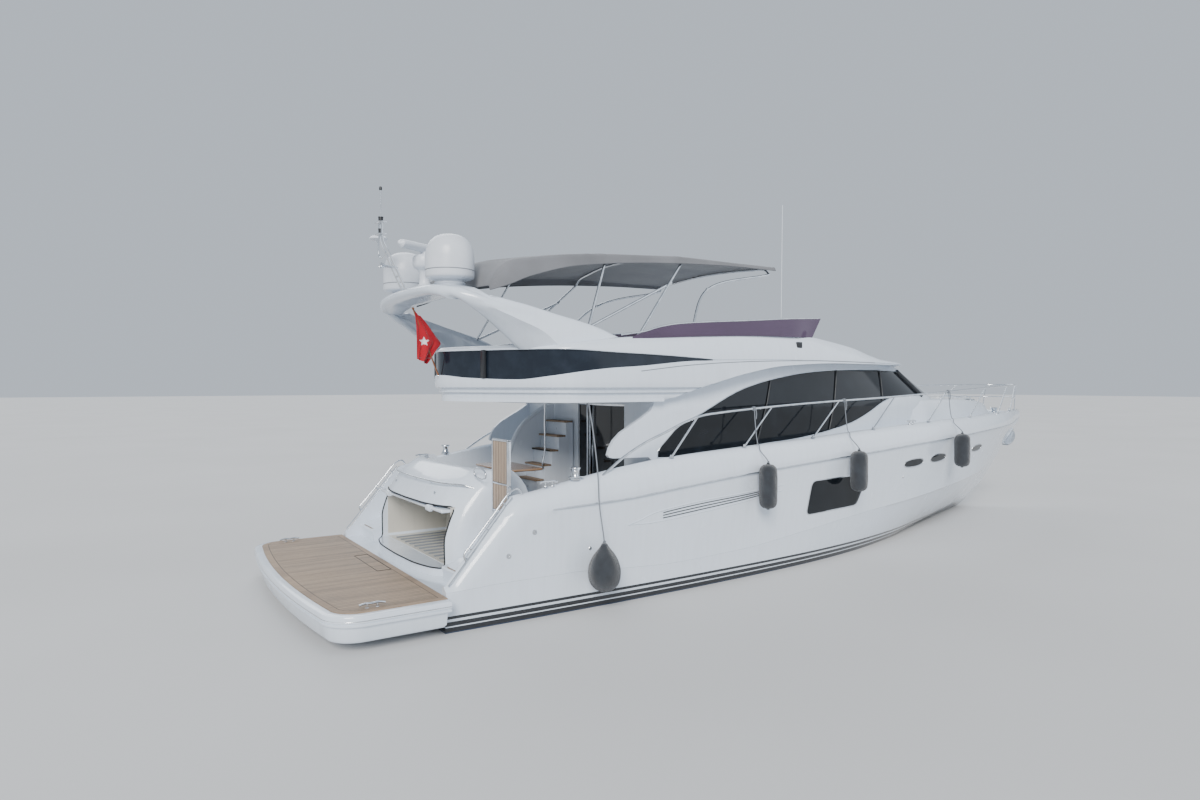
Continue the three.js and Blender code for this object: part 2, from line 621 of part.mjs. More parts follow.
const archBody = loft(archRow.map((row, i) => {
  const before = archRow[Math.max(0, i - 1)];
  const after = archRow[Math.min(archRow.length - 1, i + 1)];
  const chord = row[2].clone().sub(row[0]).normalize();
  // A point of the section: along the chord from a corner, and off its face by half the thickness.
  const at = (k, along, side) => {
    const out = after[k].clone().sub(before[k]).cross(chord).normalize();
    return row[k].clone().addScaledVector(chord, along).addScaledVector(out, side * ARCH_THICK / 2).toArray();
  };
  return [at(0, 0, 0), at(0, 80, 1), at(1, 0, 1), at(2, -120, 1), at(2, 0, 0), at(2, -60, -1), at(1, 0, -1),
    at(0, 60, -1)];
}));
const arch = clearOf(archBody, [flybridge]);
addNode('radar_arch', arch, paint(GELCOAT, 0.18));

const domeProfile = [
  [0, 0], [190, 0], [190, 60], [300, 75], [325, 100], [DOME_RADIUS, 190], [DOME_RADIUS, 380],
  [310, 500], [245, 600], [140, 660], [0, 685],
];
const DOME_Y = 900;
const DOME_X = -7130;
[['starboard', -1], ['port', 1]].forEach(([side, sign]) => {
  addNode(`satellite_dome_${side}`, seated(
    join([
      moved(turned(domeProfile, 28), DOME_X, sign * DOME_Y, ARCH_TOP + 10),
      moved(turned([[0, -90], [170, -90], [190, 5], [0, 5]], 20), DOME_X, sign * DOME_Y, ARCH_TOP + 10),
    ]), arch), paint(0xeef1f4, 0.25));
});

// Open array radar: its bar turns on a drum
const RADAR = { x: -7150, y: 0, foot: 4300, head: 4900, bar: 1080, turn: 0.48 };
addNode('radar_drum', seated(join([
  moved(turned([[0, 0], [150, 0], [130, 90], [75, 110], [75, 330], [150, 350], [175, 400],
    [175, 530], [150, 560], [0, 560]], 20), RADAR.x, RADAR.y, RADAR.head - 560),
  moved(turned([[0, 0], [150, 0], [150, 200], [0, 200]], 20), RADAR.x, RADAR.y, RADAR.foot),
]), arch), paint(0xe6e9ec, 0.35));
const radarBar = addNode('radar_scanner', join([
  new THREE.ExtrudeGeometry(outline([[-65, -60], [65, -60], [75, 0], [50, 70], [-50, 70], [-75, 0]]),
    { depth: RADAR.bar, bevelEnabled: false })
    .rotateX(Math.PI / 2).rotateZ(Math.PI / 2).translate(-RADAR.bar / 2, 0, 95),
  moved(turned([[0, 0], [70, 0], [60, 45], [0, 45]], 16), 0, 0, 0),
]), paint(0xe6e9ec, 0.35));
radarBar.position.set(RADAR.x, RADAR.y, RADAR.head + GAP);
radarBar.rotation.z = RADAR.turn;

// Raked light mast with its side arm
const mastLeg = (y) => tube([
  [-7440, y, 4300], [-7520, y, 4480], [-7700, y * 0.95, 4860], [-7790, y * 0.8, 5050], [-7800, y * 0.8, 5320],
], 17, 4, 8);
addNode('light_mast', seated(join([
  mastLeg(-75), mastLeg(75),
  tube([[-7700, -80, 4860], [-7700, 80, 4860]], 14),
  block(-7840, -7750, -90, 90, 5130, 5160),
  block(-7840, -7750, -90, 90, 5300, 5330),
  tube([[-7800, 0, 5300], [-7800, 0, 5800]], 12),
  tube([[-7700, 70, 4860], [-7700, 330, 4860], [-7700, 420, 4900], [-7700, 430, 5120]], 14, 4, 12),
  moved(turned([[0, 0], [20, 0], [130, 30], [110, 55], [0, 70]], 20), -7700, 430, 5100),
]), arch), paint(STEEL, 0.2, 0.9));

// Bimini

const BIMINI = [
  // x, half width, edge z, valance bottom z, crown z
  [-6760, 1500, 4600, 4280, 4690],
  [-6560, 1560, 4680, 4350, 4790],
  [-6260, 1580, 4740, 4480, 4860],
  [-5540, 1600, 4850, 4680, 4980],
  [-4400, 1610, 4940, 4820, 5090],
  [-3400, 1610, 4990, 4890, 5140],
  [-2400, 1600, 4990, 4930, 5120],
  [-1500, 1570, 4980, 4940, 5060],
];
const SHEET = 14;
const canopy = loft(BIMINI.map(([x, half, edge, low, crown]) => {
  const over = [
    [half, low], [half - 20, edge - 20], [half - 140, edge + 25], [half * 0.5, crown - 30], [0, crown],
  ];
  const under = over.map(([y, z], i) => (i < 2 ? [y - SHEET, z] : [y, z - SHEET]));
  const outer = [...over, ...over.slice(0, -1).map(([y, z]) => [-y, z]).reverse()];
  const inner = [...under, ...under.slice(0, -1).map(([y, z]) => [-y, z]).reverse()].reverse();
  return [...outer, ...inner].map(([y, z]) => [x, y, z]);
}));
addNode('bimini_canopy', canopy, paint(0x6f7684, 0.95));
// Its bows run just under the cloth, their ends on raked legs.
function bowPoints(x) {
  const i = BIMINI.findIndex((row) => row[0] > x);
  const t = (x - BIMINI[i - 1][0]) / (BIMINI[i][0] - BIMINI[i - 1][0]);
  const [, half, edge, , crown] = BIMINI[i].map((v, k) => BIMINI[i - 1][k] + (v - BIMINI[i - 1][k]) * t);
  return symmetricPath([
    [half - 60, edge - 110], [half - 165, edge - 20], [half * 0.7, (edge + crown) / 2 - 40],
    [half * 0.4, crown - 50], [0, crown - 25],
  ]).map(([y, z]) => [x, y, z]);
}

function symmetricPath(half) {
  return [...half, ...half.slice(0, -1).map(([y, z]) => [-y, z]).reverse()];
}

const BOWS = [-1600, -3570, -4990];
const BIMINI_TUBE = 14;
const COAMING_Y = 2045;
const bow = (i) => tube(bowPoints(BOWS[i]), BIMINI_TUBE, 4, 20);
const legs = (head, via, foot) => [1, -1].map((sign) => tube(
  [head, ...via, foot].map(([x, y, z]) => [x, sign * y, z]), BIMINI_TUBE,
));
const headOf = (i) => bowPoints(BOWS[i])[0];
addNode('bimini_frame_fore', clearOf(join([
  bow(0), ...legs(headOf(0), [[-3090, 1620, 4500]], [-3780, COAMING_Y, 3680]),
]), [flybridge, arch, canopy]), paint(STEEL, 0.2, 0.9));
addNode('bimini_frame_aft', clearOf(join([
  bow(1), ...legs(headOf(1), [], [-4750, COAMING_Y, 3620]),
  bow(2), ...legs(headOf(2), [], [-5520, 1890, 3700]),
  ...legs([-3879, 1678, 4540], [], [-5467, 1856, 3800]),
]), [flybridge, arch, canopy]), paint(STEEL, 0.2, 0.9));

// Wind deflector and the grab rail above it

const deflectorShell = (inset) => slab([
  [-4900, 3640], [-3720, 3700], [-2210, 3760], [-1120, 3760], [-1110, 3880], [-870, 4120],
  [-1600, 4080], [-2600, 4005], [-3520, 3940], [-4070, 3890],
], inset - 8, inset);
addNode('wind_deflector_port', seated(deflectorShell(2085), flybridge), paint(0x2a1f33, 0.08));
addNode('wind_deflector_starboard', seated(mirrored(deflectorShell(2085)), flybridge), paint(0x2a1f33, 0.08));

// Helm console, wheel, seat and sofa on the flybridge

const HELM_FACE = { foot: [-1500, 3560], head: [-1330, 3800] };
addNode('helm_console', slab([
  [-1450, FLY_SOLE + GAP], HELM_FACE.foot, HELM_FACE.head, [-1000, 3860], [-750, 3740],
  [-700, FLY_SOLE + GAP],
], -1500, -350), paint(GELCOAT, 0.3));
const WHEEL = { radius: 185, standOff: 75, alongFace: 0.6, y: -925 };
const faceRun = [HELM_FACE.head[0] - HELM_FACE.foot[0], HELM_FACE.head[1] - HELM_FACE.foot[1]];
const faceTilt = Math.atan2(faceRun[1], faceRun[0]);
const wheel = addNode('steering_wheel', join([
  new THREE.TorusGeometry(WHEEL.radius, 14, 8, 32),
  turned([[0, GAP - WHEEL.standOff], [30, GAP - WHEEL.standOff], [45, -10], [45, 25], [0, 25]], 16),
  block(-WHEEL.radius, WHEEL.radius, -12, 12, -7, 7),
  block(-12, 12, -WHEEL.radius, WHEEL.radius, -7, 7),
]), paint(0x22252a, 0.5));
wheel.position.set(
  HELM_FACE.foot[0] + faceRun[0] * WHEEL.alongFace - WHEEL.standOff * Math.sin(faceTilt),
  WHEEL.y,
  HELM_FACE.foot[1] + faceRun[1] * WHEEL.alongFace + WHEEL.standOff * Math.cos(faceTilt),
);
wheel.rotation.y = -faceTilt;
addNode('helm_seat', join([
  block(-2250, -1850, -1260, -520, 3420, 3560),
  block(-2330, -2210, -1260, -520, 3500, 4020),
  block(-2150, -1950, -1000, -800, FLY_SOLE + GAP, 3430),
]), paint(0xcfc6b8, 0.8));
addNode('flybridge_sofa', join([
  block(-4200, -2700, 1100, 1720, FLY_SOLE + GAP, 3480),
  block(-4200, -2700, 1580, 1720, 3470, 3820),
  block(-4200, -3600, 300, 1110, FLY_SOLE + GAP, 3480),
]), paint(CUSHION, 0.85));

// Guard rail round the foredeck on raked stanchions

const RAIL = [
  // x, inboard of the gunwale, z
  [-5560, 60, 1760], [-4980, 90, 2110], [-4320, 110, 2360], [-3810, 120, 2530], [-2600, 120, 2630],
  [-1250, 120, 2700], [930, 120, 2780], [3000, 110, 2870], [4700, 100, 2930], [6200, 70, 2960],
  [7400, 20, 2980], [8150, 0, 2985],
];
const railSide = (sign) => RAIL.map(([x, inboard, z]) => [x, sign * (hullAt('gunwaleY', x) - inboard), z]);
const pulpit = [
  ...railSide(-1), [8480, -330, 2985], [8600, 0, 2985], [8480, 330, 2985], ...railSide(1).reverse(),
];
const STANCHIONS = [[-4360, -3830], [-2950, -2300], [-1400, -700], [170, 860], [1880, 2650], [3660, 4600],
  [5500, 6400], [7000, 7700]];
const railAt = (x) => {
  const i = RAIL.findIndex((r) => r[0] >= x);
  const [a, b] = [RAIL[i - 1], RAIL[i]];
  const t = (x - a[0]) / (b[0] - a[0]);
  return { inboard: a[1] + (b[1] - a[1]) * t, z: a[2] + (b[2] - a[2]) * t };
};
const stanchion = ([footX, headX], sign) => {
  const head = railAt(headX);
  return tube([
    [footX, sign * (hullAt('gunwaleY', footX) - 45), hullAt('gunwaleZ', footX) - 30],
    [headX, sign * (hullAt('gunwaleY', headX) - head.inboard), head.z],
  ], 13, 4, 1);
};
const guardRail = seated(join([
  tube(pulpit, 17, 4, 64),
  ...STANCHIONS.flatMap((s) => [stanchion(s, -1), stanchion(s, 1)]),
]), hullBody);
addNode('guard_rail', guardRail, paint(STEEL, 0.2, 0.9));

// Anchor stowed on the stem, and the windlass

const anchorPlate = common(
  slab([[8530, 1515], [9000, 1850], [9090, 1780], [8980, 1660], [8640, 1400], [8560, 1420]], -200, 200),
  plate([[8500, -60], [8560, -190], [8720, -170], [9100, -45], [9100, 45], [8720, 170], [8560, 190],
    [8500, 60]], 1300, 1900),
);
addNode('anchor', clearOf(anchorPlate, [hullBody]), paint(STEEL, 0.3, 0.9));
addNode('windlass', seated(join([
  moved(turned([[0, -120], [120, -120], [120, 40], [70, 60], [60, 130], [90, 150], [90, 190], [0, 200]], 20),
    8100, 0, 2210),
  block(7950, 8250, -140, 140, 2150, 2240),
]), hullBody), paint(STEEL, 0.25, 0.9));

// Running gear

const SHAFT = { angle: 0.155, x: -6900, z: -905, radius: 32, length: 2640 };
const blade = (turn) => new THREE.ExtrudeGeometry(outline([
  [-50, 60], [50, 60], [150, 200], [165, 290], [90, 370], [-60, 372], [-140, 290], [-130, 190],
]), { depth: 14, bevelEnabled: false })
  .translate(0, 0, -7)
  .rotateY(Math.PI / 2 - 0.6)
  .rotateX(turn);
[['starboard', -1], ['port', 1]].forEach(([side, sign]) => {
  const propeller = addNode(`propeller_${side}`, join([
    turned([[0, -110], [40, -100], [75, -40], [80, 60], [SHAFT.radius, 130], [SHAFT.radius, SHAFT.length],
      [0, SHAFT.length]], 16).rotateY(Math.PI / 2),
    ...[0, 1, 2, 3].map((i) => blade(i * Math.PI / 2)),
  ]), paint(BRONZE, 0.35, 0.8));
  propeller.position.set(SHAFT.x, sign * SHAFT_Y, SHAFT.z);
  propeller.rotation.y = -SHAFT.angle;
  const boss = 330;
  const boreRadius = (SHAFT.radius + GAP) / Math.cos(Math.PI / 20);
  const bossX = SHAFT.x + boss * Math.cos(SHAFT.angle);
  const bossZ = SHAFT.z + boss * Math.sin(SHAFT.angle);
  const bearing = new THREE.LatheGeometry([[boreRadius, -90], [60, -90], [60, 90],
    [boreRadius, 90], [boreRadius, -90]].map(([r, z]) => new THREE.Vector2(r, z)), 20)
    .rotateX(Math.PI / 2)
    .rotateY(Math.PI / 2)
    .rotateY(-SHAFT.angle)
    .translate(bossX, sign * SHAFT_Y, bossZ);
  const bore = turned([[0, -150], [boreRadius, -150], [boreRadius, 150], [0, 150]], 20)
    .rotateY(Math.PI / 2)
    .rotateY(-SHAFT.angle)
    .translate(bossX, sign * SHAFT_Y, bossZ);
  const strut = slab([[bossX - 60, bossZ], [bossX + 80, bossZ], [bossX + 160, -300], [bossX + 20, -300]],
    sign * SHAFT_Y - 14, sign * SHAFT_Y + 14);
  addNode(`shaft_bracket_${side}`, cut(join([bearing, cut(strut, [bore])]),
    [hullBody, moved(hullBody, 0, 0, -GAP)]), paint(BRONZE, 0.4, 0.8));
  const rudder = join([
    loft([[RUDDER.z0, 130, 190], [-830, 150, 240], [RUDDER.z1, 160, 270]].map(([z, fore, aft]) => [
      [fore, 0, z], [fore * 0.5, 26, z], [-aft * 0.3, 24, z], [-aft, 4, z],
      [-aft, -4, z], [-aft * 0.3, -24, z], [fore * 0.5, -26, z],
    ])),
    turned([[0, RUDDER.z1 - 60], [RUDDER.stock, RUDDER.z1 - 60], [RUDDER.stock, RUDDER.seat - GAP],
      [0, RUDDER.seat - GAP]], 16),
  ]).translate(RUDDER.x, sign * SHAFT_Y, 0);
  addNode(`rudder_${side}`, rudder, paint(BRONZE, 0.45, 0.8));
});

// Fenders on the starboard side, each hung on its line

const FENDERS = [
  // x, centre z, radius, length
  [-2700, 1450, 140, 680],
  [-570, 1550, 145, 680],
  [2710, 1730, 145, 640],
];
const fenderProfile = (radius, length) => [
  [0, -length / 2], [radius * 0.5, -length / 2 + 15], [radius, -length / 2 + 110],
  [radius, length / 2 - 110], [radius * 0.5, length / 2 - 15], [0, length / 2],
];
FENDERS.forEach(([x, z, radius, length], i) => {
  const side = hullAt('knuckleY', x);
  const y = -(side + radius + 12);
  const edge = hullAt('gunwaleY', x) + 14;
  const rail = railAt(x);
  const line = tube([
    [x, y, z + length / 2 - 20], [x, y + 20, z + length / 2 + 60], [x, -edge, hullAt('gunwaleZ', x) - 10],
    [x, -(hullAt('gunwaleY', x) - rail.inboard), rail.z],
  ], 8, 3, 9);
  addNode(`fender_${i + 1}`, clearOf(
    join([moved(turned(fenderProfile(radius, length), 20), x, y, z), line]), [guardRail],
  ), paint(0x14161a, 0.8));
});
const TEARDROP = { x: -5690, z: 590, radius: 225 };
const tearY = -(2340 + TEARDROP.radius + 10);
addNode('fender_teardrop', clearOf(join([
  moved(turned([[0, -300], [90, -285], [190, -200], [225, -80], [215, 40], [150, 180], [70, 280],
    [40, 330], [0, 335]], 24), TEARDROP.x, tearY, TEARDROP.z),
  tube([[TEARDROP.x, tearY, TEARDROP.z + 320], [TEARDROP.x, -2440, 1420], [TEARDROP.x, -2390, 1800],
    [TEARDROP.x + 100, -2022, 2790]], 8, 3, 9),
]), [flybridge]), paint(0x14161a, 0.8));

// Ensign on its raked staff, drooping beside the staff in an upright plane

const STAFF = { foot: [-6920, 0, 3065], head: [-7340, 0, 4130], radius: 14 };
const CLOTH = 12;
addNode('ensign_staff', clearOf(tube([STAFF.foot, STAFF.head], STAFF.radius, 4, 1), [flybridge]),
  paint(0x7c4a28, 0.35));
addNode('ensign', slab([
  [-7310, 4100], [-7290, 3840], [-7283, 3360], [-7115, 3290], [-7005, 3480], [-6910, 3600], [-7005, 3735],
  [-7204, 3990],
], -STAFF.radius - GAP - CLOTH, -STAFF.radius - GAP), paint(0xb01228, 0.9));

export default yacht;
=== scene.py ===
import json
from math import atan2, copysign, cos, dist, exp, hypot, pi, radians, sin, sqrt
import bpy
from mathutils import Matrix, Vector

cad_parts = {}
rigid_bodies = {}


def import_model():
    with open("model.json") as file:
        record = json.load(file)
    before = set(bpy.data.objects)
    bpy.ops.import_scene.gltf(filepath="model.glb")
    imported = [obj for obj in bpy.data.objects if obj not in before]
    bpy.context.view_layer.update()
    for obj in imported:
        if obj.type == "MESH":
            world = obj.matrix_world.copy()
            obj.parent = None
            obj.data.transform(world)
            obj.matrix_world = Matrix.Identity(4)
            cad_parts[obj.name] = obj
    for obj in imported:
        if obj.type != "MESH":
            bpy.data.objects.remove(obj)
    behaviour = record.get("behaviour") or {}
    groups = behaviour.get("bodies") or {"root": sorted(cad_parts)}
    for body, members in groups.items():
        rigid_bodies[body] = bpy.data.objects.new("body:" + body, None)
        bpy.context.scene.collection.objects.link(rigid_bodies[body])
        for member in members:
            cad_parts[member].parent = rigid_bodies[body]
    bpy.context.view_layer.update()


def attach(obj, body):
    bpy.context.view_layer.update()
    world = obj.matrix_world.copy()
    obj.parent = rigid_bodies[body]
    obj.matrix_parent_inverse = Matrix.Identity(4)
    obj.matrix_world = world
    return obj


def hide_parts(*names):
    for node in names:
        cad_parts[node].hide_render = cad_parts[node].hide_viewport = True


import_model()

scene = bpy.context.scene
SIDES = (("starboard", -1), ("port", 1))


def drop_selection():
    bpy.ops.object.select_all(action="DESELECT")


def pick(piece):
    """Selects one piece alone and makes it active."""
    drop_selection()
    piece.select_set(True)
    bpy.context.view_layer.objects.active = piece


# Camera, at the photograph's place and angle

def set_camera():
    drop_selection()
    bpy.ops.object.camera_add(location=(-11.257, -10.884, 3.009))
    camera = bpy.context.object
    yaw, pitch = radians(56.508), radians(-1.208)
    ahead = Vector((cos(yaw) * cos(pitch), sin(yaw) * cos(pitch), sin(pitch)))
    camera.rotation_euler = ahead.to_track_quat("-Z", "Y").to_euler()
    camera.data.sensor_width = 36
    camera.data.lens = 767.571 / 1200 * 36
    scene.camera = camera


set_camera()


# Curves through tables

def at(table, x, column=1):
    """One column of a table at any x, on a smooth curve through its rows."""
    rows = table if table[0][0] < table[-1][0] else table[::-1]
    if x <= rows[0][0]:
        return rows[0][column]
    if x >= rows[-1][0]:
        return rows[-1][column]
    i = next(k for k in range(1, len(rows)) if rows[k][0] >= x)

    def slope(k):
        if k <= 0 or k >= len(rows) - 1:
            a, b = rows[max(0, k - 1)], rows[min(len(rows) - 1, k + 1)]
            return (b[column] - a[column]) / (b[0] - a[0])
        a, b, c = rows[k - 1], rows[k], rows[k + 1]
        left = (b[column] - a[column]) / (b[0] - a[0])
        right = (c[column] - b[column]) / (c[0] - b[0])
        if left * right <= 0:
            return 0.0
        return 2 * left * right / (left + right)

    a, b = rows[i - 1], rows[i]
    run = b[0] - a[0]
    t = (x - a[0]) / run
    return ((2 * t ** 3 - 3 * t ** 2 + 1) * a[column] + (t ** 3 - 2 * t ** 2 + t) * run * slope(i - 1)
        + (3 * t ** 2 - 2 * t ** 3) * b[column] + (t ** 3 - t ** 2) * run * slope(i))


def smooth(points, count, closed=False):
    """Evenly spaced points on a rounded curve through the given points."""
    given = [Vector(p) for p in points]
    n = len(given)
    fine = []
    spans = n if closed else n - 1
    for i in range(spans):
        p1, p2 = given[i], given[(i + 1) % n]
        p0 = given[(i - 1) % n] if closed or i > 0 else p1 * 2 - p2
        p3 = given[(i + 2) % n] if closed or i < n - 2 else p2 * 2 - p1
        d1 = max((p1 - p0).length ** 0.5, 1e-4)
        d2 = max((p2 - p1).length ** 0.5, 1e-4)
        d3 = max((p3 - p2).length ** 0.5, 1e-4)
        m1 = ((p1 - p0) / d1 - (p2 - p0) / (d1 + d2) + (p2 - p1) / d2) * d2
        m2 = ((p2 - p1) / d2 - (p3 - p1) / (d2 + d3) + (p3 - p2) / d3) * d2
        for k in range(16):
            t = k / 16
            fine.append(p1 * (2 * t ** 3 - 3 * t ** 2 + 1) + m1 * (t ** 3 - 2 * t ** 2 + t)
                + p2 * (3 * t ** 2 - 2 * t ** 3) + m2 * (t ** 3 - t ** 2))
    fine.append(given[0] if closed else given[-1])
    runs = [0.0]
    for a, b in zip(fine, fine[1:]):
        runs.append(runs[-1] + (b - a).length)
    steps = count if closed else count - 1
    out, k = [], 0
    for i in range(count):
        want = runs[-1] * i / steps
        while k < len(runs) - 2 and runs[k + 1] < want:
            k += 1
        t = (want - runs[k]) / max(runs[k + 1] - runs[k], 1e-9)
        out.append(fine[k].lerp(fine[k + 1], t))
    return out


def drawn_in(points, distance):
    """A closed outline drawn in by the same distance all round."""
    n = len(points)
    area = sum(points[i][0] * points[(i + 1) % n][1] - points[(i + 1) % n][0] * points[i][1]
        for i in range(n))
    side = copysign(distance, area)
    out = []
    for i in range(n):
        a, b, c = (Vector(points[k % n]).to_2d() for k in (i - 1, i, i + 1))
        u, v = (b - a).normalized(), (c - b).normalized()
        p, q = Vector((-u.y, u.x)), Vector((-v.y, v.x))
        out.append(b + (p + q) * side / max(0.3, 1 + p.dot(q)))
    return out


def around(count):
    """Evenly spaced angles round a circle."""
    return [2 * pi * k / count for k in range(count)]


def round_corners(corners, radius, steps=5):
    out = []
    n = len(corners)
    for i in range(n):
        a, b, c = Vector(corners[i - 1]), Vector(corners[i]), Vector(corners[(i + 1) % n])
        p, q = b + (a - b).normalized() * radius, b + (c - b).normalized() * radius
        for k in range(steps + 1):
            t = k / steps
            spot = p * (1 - t) ** 2 + b * 2 * t * (1 - t) + q * t * t
            out.append((spot.x, spot.y))
    dense = []
    for a, b in zip(out, out[1:] + out[:1]):
        gap = dist(a, b)
        steps_here = max(1, int(gap / 0.12))
        for k in range(steps_here):
            dense.append((a[0] + (b[0] - a[0]) * k / steps_here, a[1] + (b[1] - a[1]) * k / steps_here))
    return dense


# Making pieces

def editing(piece):
    pick(piece)
    bpy.ops.object.mode_set(mode="EDIT")
    bpy.ops.mesh.select_mode(type="VERT")
    bpy.ops.mesh.select_all(action="SELECT")


def done_editing():
    bpy.ops.object.mode_set(mode="OBJECT")
    drop_selection()


def same_way(piece, merge=0.0):
    """Merges points closer than a distance and turns all faces the same way."""
    editing(piece)
    if merge:
        bpy.ops.mesh.remove_doubles(threshold=merge)
    bpy.ops.mesh.normals_make_consistent(inside=False)
    done_editing()
    return piece


def laid(name, rows):
    """A grid whose rows are laid along the rows of points."""
    drop_selection()
    bpy.ops.mesh.primitive_grid_add(x_subdivisions=len(rows[0]) - 1, y_subdivisions=len(rows) - 1)
    piece = bpy.context.object
    piece.name = name
    piece.data.vertices.foreach_set("co", [c for row in rows for p in row for c in p])
    piece.data.update()
    drop_selection()
    return piece


def facing_out(piece):
    """Turns a closed skin's faces outwards."""
    points = [v.co for v in piece.data.vertices]
    volume = 0.0
    for face in piece.data.polygons:
        corners = [points[k] for k in face.vertices]
        for b, c in zip(corners[1:], corners[2:]):
            volume += corners[0].dot(b.cross(c))
    if volume < 0:
        editing(piece)
        bpy.ops.mesh.flip_normals()
        done_editing()
    return piece


def ringed(name, rings, capped=True):
    """A closed skin over a row of rings, its seam merged and its ends filled."""
    piece = laid(name, [list(ring) + [ring[0]] for ring in rings])
    editing(piece)
    bpy.ops.mesh.remove_doubles(threshold=1e-5)
    if capped:
        bpy.ops.mesh.select_all(action="DESELECT")
        bpy.ops.mesh.select_mode(type="EDGE")
        bpy.ops.mesh.select_non_manifold(extend=False, use_wire=False, use_multi_face=False,
            use_non_contiguous=False, use_verts=False)
        bpy.ops.mesh.edge_face_add()
        bpy.ops.mesh.select_all(action="SELECT")
    bpy.ops.mesh.normals_make_consistent(inside=False)
    done_editing()
    return facing_out(piece)


def prism(name, outline, axis, low, high):
    """An outline in the two other axes, drawn out along one axis."""
    def place(p, depth):
        a, b = p[0], p[1]
        return {"x": (depth, a, b), "y": (a, depth, b), "z": (a, b, depth)}[axis]
    return ringed(name, [[place(p, low) for p in outline], [place(p, high) for p in outline]])


def apply_modifier(piece, kind, **settings):
    pick(piece)
    modifier = piece.modifiers.new("work", kind)
    for key, value in settings.items():
        setattr(modifier, key, value)
    bpy.ops.object.modifier_apply(modifier=modifier.name)
    drop_selection()
    return piece


def discard(*pieces):
    for piece in pieces:
        bpy.data.objects.remove(piece, do_unlink=True)


def trim(piece, cutter, how="DIFFERENCE", keep=False):
    apply_modifier(piece, "BOOLEAN", operation=how, object=cutter, solver="EXACT")
    if not keep:
        discard(cutter)
    return piece


def thicken(piece, thickness, offset=-1):
    return apply_modifier(piece, "SOLIDIFY", thickness=thickness, offset=offset, use_even_offset=True)


def soften(piece, width, segments=3, angle=40):
    """Rounded edges wherever two faces meet sharply."""
    return apply_modifier(piece, "BEVEL", width=width, segments=segments, limit_method="ANGLE",
        angle_limit=radians(angle), harden_normals=False)


def box(name, low, high, width=0.0, segments=3):
    """A block between two corners, with rounded edges."""
    drop_selection()
    bpy.ops.mesh.primitive_cube_add(size=1)
    piece = bpy.context.object
    piece.name = name
    for v in piece.data.vertices:
        v.co = [low[k] if v.co[k] < 0 else high[k] for k in range(3)]
    if width:
        editing(piece)
        bpy.ops.mesh.select_mode(type="EDGE")
        bpy.ops.mesh.select_all(action="SELECT")
        bpy.ops.mesh.bevel(offset=width, segments=segments, affect="EDGES", clamp_overlap=True)
        done_editing()
    drop_selection()
    return piece


def turned(name, profile, centre=(0, 0, 0), heading=(0, 0, 1), steps=48):
    """A profile of radius and height, turned about an axis."""
    rows = [[(max(r, 0) * cos(a), max(r, 0) * sin(a), z) for r, z in profile] for a in around(steps)]
    rows.append(rows[0])
    piece = same_way(laid(name, rows), 1e-6)
    turn = Vector(heading).to_track_quat("Z", "Y").to_matrix().to_4x4()
    piece.data.transform(Matrix.Translation(centre) @ turn)
    return piece


def rod(name, points, radius, closed=False, sides=6):
    """A round bar along the points."""
    drop_selection()
    bpy.ops.curve.primitive_nurbs_path_add()
    curve = bpy.context.object
    curve.name = name
    curve.data.splines.clear()
    line = curve.data.splines.new("POLY")
    line.points.add(len(points) - 1)
    for p, q in zip(line.points, points):
        p.co = (*q, 1)
    line.use_cyclic_u = closed
    curve.data.dimensions = "3D"
    curve.data.bevel_depth = radius
    curve.data.bevel_resolution = sides // 2
    curve.data.use_fill_caps = True
    curve.select_set(True)
    bpy.ops.object.convert(target="MESH")
    piece = bpy.context.object
    drop_selection()
    return piece


def tube(name, points, radius, closed=False, sides=6):
    """A round bar bent smoothly through the points."""
    path = smooth(points, max(3, len(points) * 8), closed) if len(points) > 2 else points
    return rod(name, path, radius, closed, sides)


def joined(name, pieces):
    drop_selection()
    for piece in pieces:
        piece.select_set(True)
    bpy.context.view_layer.objects.active = pieces[0]
    if len(pieces) > 1:
        bpy.ops.object.join()
    piece = bpy.context.object
    piece.name = name
    piece.data.name = name
    drop_selection()
    return piece


def finished(piece, finish, body="yacht", replaces=(), slot=None, angle=35):
    """Gives a piece its material and body, and smooths its curved faces."""
    pick(piece)
    bpy.ops.object.transform_apply(location=True, rotation=True, scale=True)
    if angle:
        bpy.ops.object.shade_smooth_by_angle(angle=radians(angle))
    drop_selection()
    piece.data.materials.clear()
    piece.data.materials.append(finish)
    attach(piece, body)
    if replaces:
        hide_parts(*([replaces] if isinstance(replaces, str) else replaces))
    return piece


def assembled(name, pieces, finish, **more):
    return finished(joined(name, pieces), finish, **more)


# Finishes

def finish(name, colour, roughness, metallic=0.0, coat=0.0, ior=1.5):
    look = bpy.data.materials.new(name)
    look.use_nodes = True
    feed(look, shader_of(look), ("Base Color", colour), ("Roughness", roughness), ("Metallic", metallic),
        ("Coat Weight", coat), ("Coat Roughness", 0.06), ("IOR", ior))
    return look


def node(look, kind, **settings):
    made = look.node_tree.nodes.new("ShaderNode" + kind)
    for key, value in settings.items():
        if key in made.inputs:
            made.inputs[key].default_value = value
        else:
            setattr(made, key, value)
    return made


def link(look, source, target):
    look.node_tree.links.new(source, target)


def feed(look, made, *pairs):
    """Sets a node's inputs: numbers and colours as they are, patterns by a link."""
    for socket, value in pairs:
        target = made.inputs[socket]
        if isinstance(value, bpy.types.NodeSocket):
            link(look, value, target)
        elif isinstance(value, tuple) and len(value) < len(target.default_value):
            target.default_value = (*value, 1)
        else:
            target.default_value = value
    return made


def places(look, scale=(1, 1, 1)):
    """Object coordinates, scaled."""
    spot = node(look, "TexCoord").outputs["Object"]
    mapping = node(look, "Mapping")
    return feed(look, mapping, ("Scale", scale), ("Vector", spot)).outputs["Vector"]


